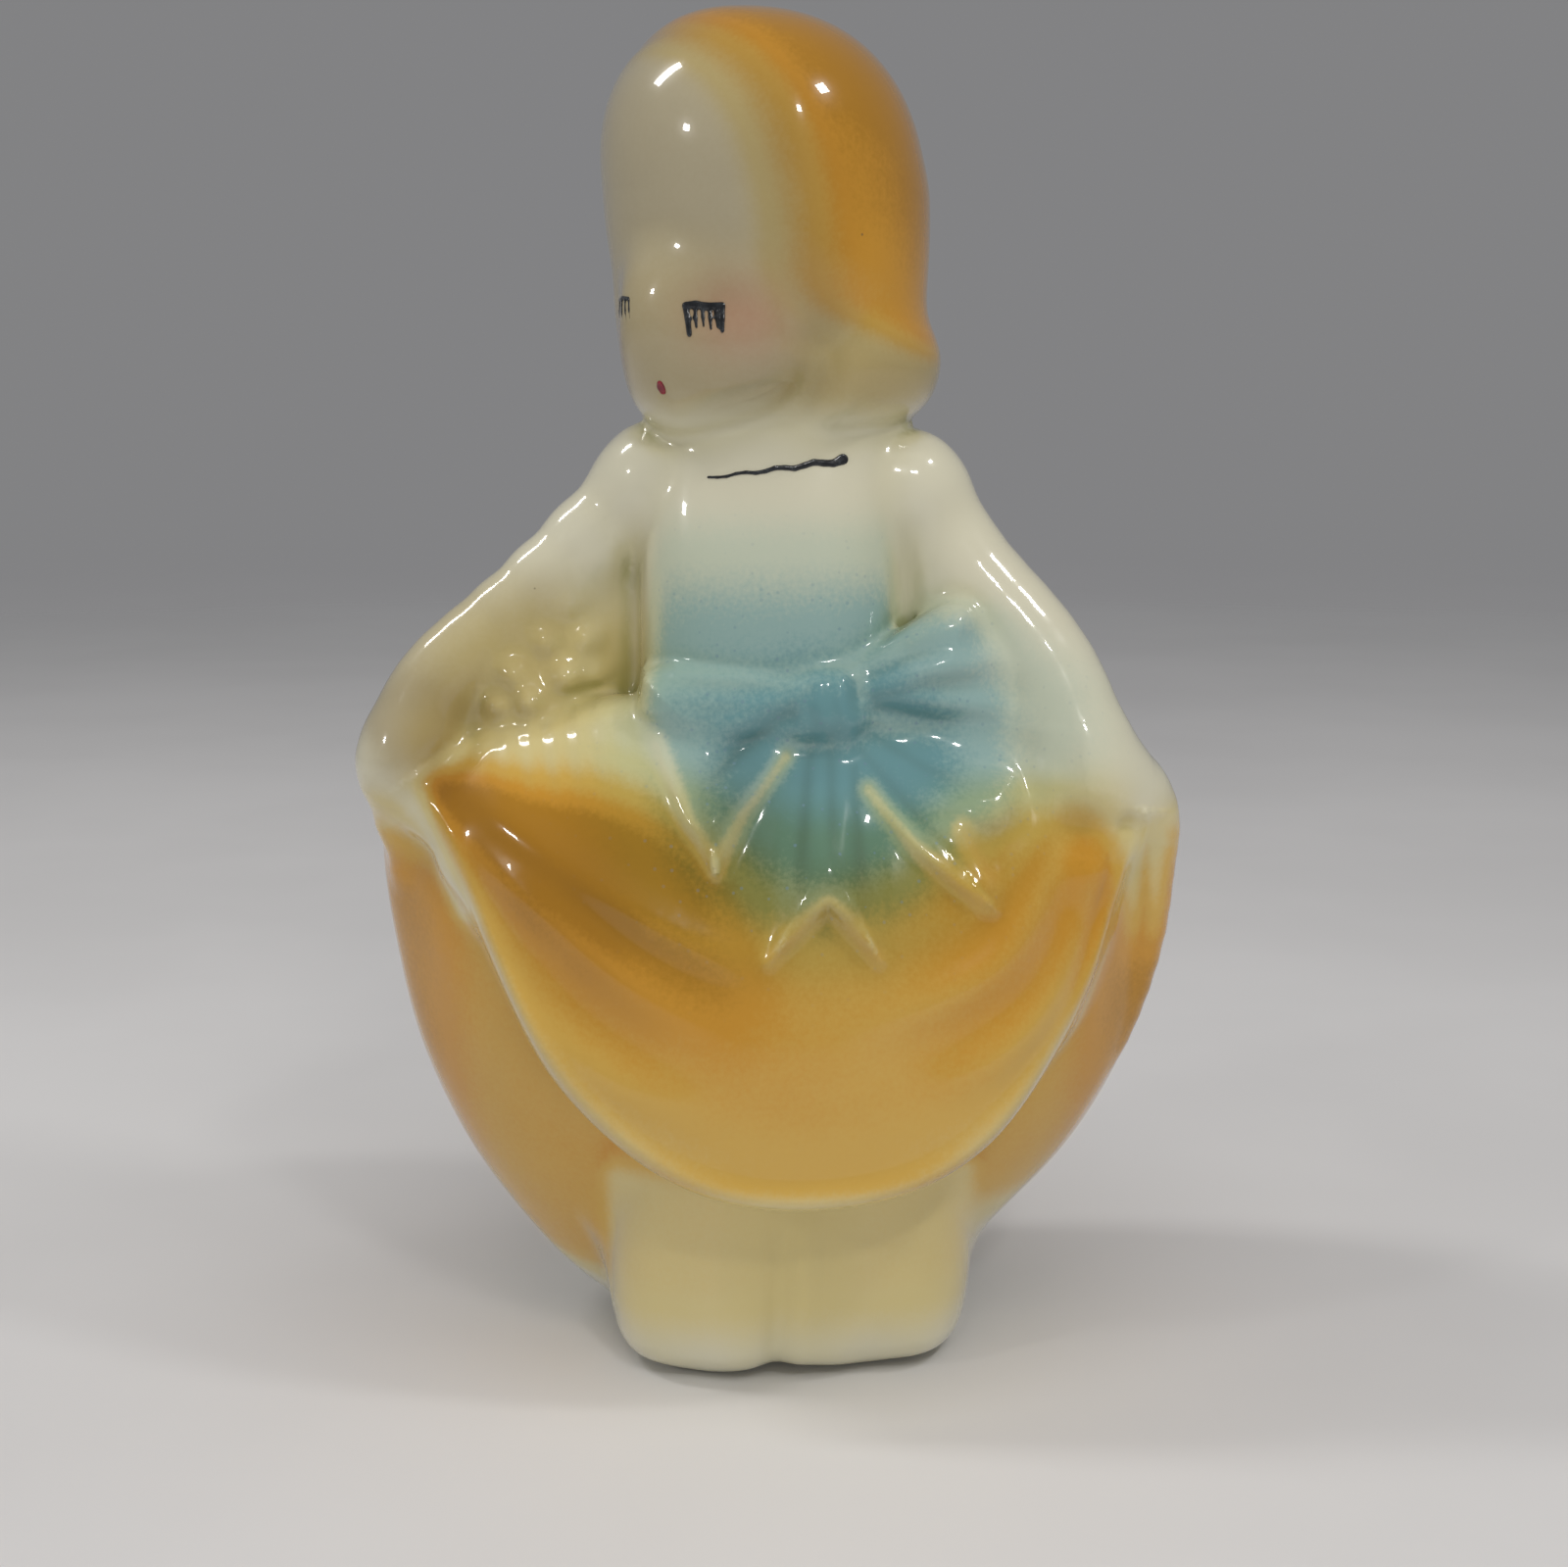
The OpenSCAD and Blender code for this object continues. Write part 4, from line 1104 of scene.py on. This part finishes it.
CREAM, PALE_CREAM = (0.69, 0.66, 0.50, 1.0), (0.72, 0.70, 0.57, 1.0)
MIST, IRON = (0.16, 0.26, 0.33, 1.0), (0.10, 0.07, 0.04, 1.0)
WHITE = (1.0, 1.0, 1.0)
SPECK_EDGE = 2.5
# Each pigment as the grain of its spray and the colours that its amount runs through. The shade entry is no
# pigment but painted shade.
PIGMENTS = {
    "gold": (0.22, [(0.0, WHITE), (0.2, (0.99, 0.88, 0.56)), (0.5, (0.95, 0.62, 0.16)),
                    (0.75, (0.90, 0.46, 0.055)), (1.0, (0.68, 0.34, 0.025))]),
    "blue": (0.45, [(0.0, WHITE), (0.25, (0.80, 0.91, 0.94)), (0.6, (0.42, 0.66, 0.82)),
                    (1.0, (0.20, 0.45, 0.63))]),
    "blush": (0.2, [(0.0, WHITE), (1.0, (0.97, 0.60, 0.68))]),
    # Painted shade: a grey-brown that darkens where less light falls.
    "shade": (0.1, [(0.0, WHITE), (1.0, (0.60, 0.55, 0.49))]),
}
# Olive darkening of glaze pooled in hollows, together with painted shade in them.
POOL_AND_SHADE_STOPS = [(0.0, WHITE), (0.45, (0.93, 0.91, 0.80)), (1.0, (0.56, 0.57, 0.35))]


def glaze(name):
    """Clear glaze over airbrushed pigment on a cream body, with painted shade multiplied into its colour."""
    g = Graph(name)
    where = g.place()
    cloud = g.noise(where, 70.0, 3.0, 0.55)
    spray = g.noise(where, 1500.0, 2.0, 0.6)
    cloudy = g.math("MULTIPLY_ADD", cloud, 0.22, 0.89)
    bare = g.math("MULTIPLY_ADD", g.math("POWER", g.attribute("thin"), 1.5), -0.75, 1.0, clamp=True)
    colour = g.mix(g.math("MULTIPLY", cloud, 0.35), CREAM, PALE_CREAM)
    for key, (grain, stops) in PIGMENTS.items():
        sprayed = g.math("MULTIPLY_ADD", spray, grain, 1.0 - 0.5 * grain)
        amount = g.math("MULTIPLY", g.math("MULTIPLY", g.attribute(key), bare), cloudy)
        amount = g.math("MULTIPLY", amount, sprayed, clamp=True)
        colour = g.mix(1.0, colour, g.ramp(amount, stops), "MULTIPLY")
    # Pooled glaze and painted shade in hollows, multiplied into the colour.
    colour = g.mix(1.0, colour, g.ramp(g.attribute("pool_and_shade"), POOL_AND_SHADE_STOPS), "MULTIPLY")

    spatter = g.specks(where, 900.0, 0.00028, 0.22)
    mist = g.math("MULTIPLY", spatter, g.math("MULTIPLY", g.attribute("blue"), 0.55), clamp=True)
    colour = g.mix(mist, colour, MIST)
    colour = g.mix(g.math("MULTIPLY", g.specks(where, 260.0, 0.00024, 0.06), 0.7), colour, IRON)
    height = g.math("MULTIPLY_ADD", g.noise(where, 650.0, 1.0, 0.5), 0.12, g.noise(where, 180.0, 2.0, 0.5))
    return g.finish(g.principled(
        Base_Color=colour, Roughness=g.math("MULTIPLY_ADD", cloud, 0.10, 0.17), IOR=1.5,
        Specular_IOR_Level=0.2, Coat_Weight=0.9, Coat_Roughness=0.02, Normal=g.bump(height, 0.10, 0.0006)))


def enamel(name, dark, light):
    """Brushed enamel: thin where the brush ran dry."""
    g = Graph(name)
    streak = g.noise(g.place(), 900.0, 3.0, 0.6)
    return g.finish(g.principled(
        Base_Color=g.ramp(streak, [(0.35, dark), (0.75, light)]),
        Roughness=g.math("MULTIPLY_ADD", streak, 0.2, 0.15),
        Coat_Weight=0.3, Coat_Roughness=0.06, Normal=g.bump(streak, 0.2, 0.0001)))


SLOTS = {
    "cream_glaze": glaze("cream_glaze"), "gold_glaze": glaze("gold_glaze"), "blue_glaze": glaze("blue_glaze"),
    "black_enamel": enamel("black_enamel", (0.006, 0.007, 0.009), (0.03, 0.035, 0.04)),
    "red_enamel": enamel("red_enamel", (0.16, 0.008, 0.02), (0.32, 0.02, 0.04)),
}


def add_mesh(name, points, faces, normals, layers):
    mesh = bpy.data.meshes.new(name)
    mesh.from_pydata((points * MM).tolist(), [], faces.tolist())
    mesh.polygons.foreach_set("use_smooth", np.ones(len(faces), bool))
    for key, values in layers.items():
        data = mesh.attributes.new(key, "FLOAT", "POINT").data
        data.foreach_set("value", np.ascontiguousarray(values, np.float32))
    mesh.update()
    mesh.normals_split_custom_set_from_vertices(normals.tolist())
    piece = bpy.data.objects.new(name, mesh)
    bpy.context.scene.collection.objects.link(piece)
    return piece


def dress(piece, node, slot):
    piece.data.materials.append(SLOTS[slot])
    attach(piece, "root")
    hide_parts(node)


# Cast sections: the figure's skin, cut up by the nearest section

GOLD_NODES = {"planter_pot", "overskirt", "hair"}
BLUE_NODES = {"sash", "bow_knot", *RIBBONS}
FINE_NODES = {"right_hand", "left_hand", "overskirt", "right_gusset", *BLUE_NODES}
SHELL, THIN_SHELL, SHELL_PROBE, SHELL_SHARE = 1.4, 0.3, 1.7, 0.8


def shell_of(points, quads, normals, deep, layers):
    """A closed cast section: the outside, the inside and the cut edges between them."""
    n, ends = len(points), edge_ends(quads)
    _, first, times = np.unique(np.sort(ends, axis=1), axis=0, return_index=True, return_counts=True)
    rim = ends[first[times == 1]]
    inner = points - normals * deep[:, None]
    walls = np.stack([rim[:, 1], rim[:, 0], rim[:, 0] + n, rim[:, 1] + n], axis=1)
    faces = np.concatenate([quads, quads[:, ::-1] + n, walls])
    both = {key: np.concatenate([v, v]) for key, v in layers.items()}
    return np.concatenate([points, inner]), faces, np.concatenate([normals, -normals]), both


def cut_section(node, p, n, q):
    """One closed section of the cast, with its pigment and glaze."""
    if node in FINE_NODES:
        p, q = refine(p, q)
        n = np.concatenate([n, unit(probe(figure, p[len(n):])[1])])
    room = -figure(p - n * SHELL_PROBE)
    deep = np.clip(SHELL_SHARE * room, THIN_SHELL, SHELL)
    return add_mesh(f"glazed_{node}", *shell_of(p, q, n, deep, paint(p, n)))


points, quads, normals = skin_of(figure, FIGURE_LOW, FIGURE_HIGH, SKIN_STEP)
apart = sections(points)
table = np.stack([apart[name] for name in NODES], axis=1)
face_label = tidy_labels(np.argmin(table[quads].sum(axis=1), axis=1), neighbours(quads))

for number, node in enumerate(NODES):
    chosen = quads[face_label == number]
    if not len(chosen):
        raise RuntimeError(f"no skin was left for {node}")
    used, flat = np.unique(chosen, return_inverse=True)
    slot = "gold_glaze" if node in GOLD_NODES else "blue_glaze" if node in BLUE_NODES else "cream_glaze"
    dress(cut_section(node, points[used], normals[used], flat.reshape(chosen.shape)), node, slot)


# Brush strokes of raised enamel, each as points in the front view and radii

GLAZE_RISE, STROKE_ROOM = 0.28, 1.6
LEFT_EYE = [
    ([(-10.2, 141.2), (-8.9, 141.3), (-7.5, 141.1), (-5.6, 141.2)], [0.5, 0.54, 0.5, 0.46]),
    ([(-10.2, 141.1), (-9.9, 139.6), (-9.7, 137.6)], [0.48, 0.48, 0.42]),
    ([(-9.0, 141.1), (-8.9, 139.6), (-8.8, 138.4)], [0.36, 0.34, 0.28]),
    ([(-8.1, 141.1), (-8.0, 139.8), (-7.9, 138.5)], [0.34, 0.33, 0.26]),
    ([(-7.2, 141.1), (-7.1, 139.6), (-7.0, 138.2)], [0.35, 0.34, 0.28]),
    ([(-6.4, 141.1), (-6.3, 139.8), (-6.2, 138.4)], [0.33, 0.32, 0.26]),
    ([(-5.6, 141.1), (-5.6, 139.6), (-5.6, 138.0)], [0.44, 0.42, 0.36]),
]
RIGHT_EYE = [([(-19.0, 142.1), (-18.3, 142.2), (-17.5, 142.1)], [0.32, 0.34, 0.3])] + [
    ([(x, 142.0), (x, middle), (x + 0.1, end)], [0.28, 0.26, 0.2])
    for x, middle, end in [(-18.9, 140.6, 139.3), (-18.4, 140.4, 139.0), (-17.9, 140.5, 139.2),
                           (-17.4, 140.7, 139.6)]
]
MOUTH = [([(-13.6, 131.6), (-13.5, 131.1), (-13.3, 130.6)], [0.52, 0.64, 0.54])]
NECKLINE_X = np.linspace(-7.8, 9.6, 15)
NECKLINE_RUN = np.linspace(0.0, 1.0, 15)
NECKLINE_Z = (119.6 + 0.13 * (NECKLINE_X - NECKLINE_X[0])
              + 0.28 * np.sin(1.35 * NECKLINE_X) * (0.4 + 0.6 * NECKLINE_RUN))
NECKLINE_R = 0.3 + 0.3 * NECKLINE_RUN ** 1.5 + 0.2 * (NECKLINE_RUN == 1.0)
NECKLINE = [(list(zip(NECKLINE_X, NECKLINE_Z)), NECKLINE_R)]
STROKES = {"left_eyelashes": (LEFT_EYE, "black_enamel"), "right_eyelashes": (RIGHT_EYE, "black_enamel"),
           "mouth": (MOUTH, "red_enamel"), "neckline": (NECKLINE, "black_enamel")}


def front_depth(x, z):
    """Depth of the figure's skin at a place in the front view."""
    y = np.linspace(-45.0, 5.0, 401)
    f = figure(np.stack([np.full_like(y, x), y, np.full_like(y, z)], axis=1))
    i = int(np.argmax(f < 0))
    return y[i - 1] + (y[i] - y[i - 1]) * f[i - 1] / (f[i - 1] - f[i])


def strokes(lines):
    """A field for strokes that stand a little above the skin, and the box round them."""
    laid = [np.array([(x, front_depth(x, z), z, r) for (x, z), r in zip(line, radii)])
            for line, radii in lines]

    def field(p):
        d = np.full(len(p), FAR)
        for line in laid:
            for a, b in zip(line[:-1], line[1:]):
                d = join(d, rod(p, a, b), 0.15)
        return meet(d, np.abs(figure(p)) - GLAZE_RISE, 0.3)

    every = np.concatenate(laid)[:, :3]
    return field, every.min(axis=0) - STROKE_ROOM, every.max(axis=0) + STROKE_ROOM


for node, (lines, slot) in STROKES.items():
    piece = add_mesh(f"enamel_{node}", *skin_of(*strokes(lines), STROKE_STEP), {})
    dress(piece, node, slot)


# Stage, light and camera, in metres

FLOOR_FADE = (0.16, 1.5)
FLOOR_STOPS = [(0.3, (0.70, 0.695, 0.70)), (0.7, (0.76, 0.755, 0.76))]
LAMP_COLOUR, ROOM_COLOUR, ROOM_LIGHT = (1.0, 0.98, 0.95), (0.86, 0.86, 0.88, 1.0), 0.26
LENS, SENSOR, NEAREST = 54.0, 36.0, 0.01
EYE_AT, EYE_DOWN = (0.002, -0.320, 0.135), 10.3
MIDDLE, HEAD_TOP = (0.0, 0.0, 0.10), (0.0, 0.0, 0.16)
# Each lamp's place, aim, size and power. The two large ones don't show in the glaze.
LAMPS = {
    "soft_top": ((0.15, -0.45, 1.28), MIDDLE, (1.2, 1.0), 5.8),
    "soft_front": ((0.15, -1.10, 0.22), MIDDLE, (0.9, 0.5), 2.0),
    "strip": ((-0.57, 0.09, 0.75), HEAD_TOP, (0.10, 0.26), 1.6),
    "lamp_left": ((-0.83, -0.57, 0.52), HEAD_TOP, (0.09, 0.07), 0.9),
    "lamp_right": ((0.48, -0.17, 0.69), HEAD_TOP, (0.09, 0.07), 0.8),
    "lamp_front": ((0.21, -0.56, 0.59), HEAD_TOP, (0.08, 0.05), 0.6),
}


def stage_material():
    """Pale floor that fades out into the room."""
    g = Graph("pale_floor")
    where = g.place()
    floor = g.principled(Base_Color=g.ramp(g.noise(where, 6.0, 4.0, 0.5), FLOOR_STOPS), Roughness=0.6)
    far = g.put(g.add("ShaderNodeVectorMath", operation="LENGTH"), Vector=where)
    fade = g.put(g.add("ShaderNodeMapRange", interpolation_type="SMOOTHSTEP"), Value=far.outputs["Value"],
                 From_Min=FLOOR_FADE[0], From_Max=FLOOR_FADE[1])
    blend = g.put(g.add("ShaderNodeMixShader"), Fac=fade.outputs["Result"])
    g.links.new(floor, blend.inputs[1])
    g.links.new(g.add("ShaderNodeBsdfTransparent").outputs["BSDF"], blend.inputs[2])
    return g.finish(blend.outputs["Shader"])


def add_stage():
    turn = np.linspace(0, 2 * math.pi, 96, endpoint=False)
    rim = [(FLOOR_FADE[1] * math.cos(a), FLOOR_FADE[1] * math.sin(a), 0.0) for a in turn]
    mesh = bpy.data.meshes.new("floor")
    mesh.from_pydata(rim, [], [tuple(range(len(rim)))])
    floor = bpy.data.objects.new("floor", mesh)
    bpy.context.scene.collection.objects.link(floor)
    mesh.materials.append(stage_material())
    floor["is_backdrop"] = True


def add_lamp(name, place, aim, size, watts):
    data = bpy.data.lights.new(name, "AREA")
    data.shape, data.energy, data.color = "RECTANGLE", watts, LAMP_COLOUR
    data.size, data.size_y = size
    lamp = bpy.data.objects.new(name, data)
    lamp.location = place
    way = np.array(aim) - np.array(place)
    flat = math.hypot(way[0], way[1])
    lamp.rotation_euler = (math.atan2(flat, -way[2]), 0.0, math.atan2(way[1], way[0]) - math.pi / 2)
    lamp.visible_glossy = not name.startswith("soft")
    bpy.context.scene.collection.objects.link(lamp)


def add_world():
    world = bpy.data.worlds.new("soft_room")
    bpy.context.scene.world = world
    world.use_nodes = True
    back = world.node_tree.nodes["Background"]
    back.inputs["Color"].default_value = ROOM_COLOUR
    back.inputs["Strength"].default_value = ROOM_LIGHT


def add_camera():
    data = bpy.data.cameras.new("camera")
    data.lens, data.sensor_width, data.sensor_fit, data.clip_start = LENS, SENSOR, "HORIZONTAL", NEAREST
    camera = bpy.data.objects.new("camera", data)
    camera.location = EYE_AT
    camera.rotation_euler = (math.radians(90 - EYE_DOWN), 0.0, 0.0)
    bpy.context.scene.collection.objects.link(camera)
    bpy.context.scene.camera = camera


add_stage()
add_world()
for name, values in LAMPS.items():
    add_lamp(name, *values)
add_camera()
bpy.context.scene.view_settings.view_transform = "Standard"

boxes = {"cad": cad_box, "visual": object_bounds()}
{key: [[float(v) for v in corner] for corner in box] for key, box in boxes.items()}
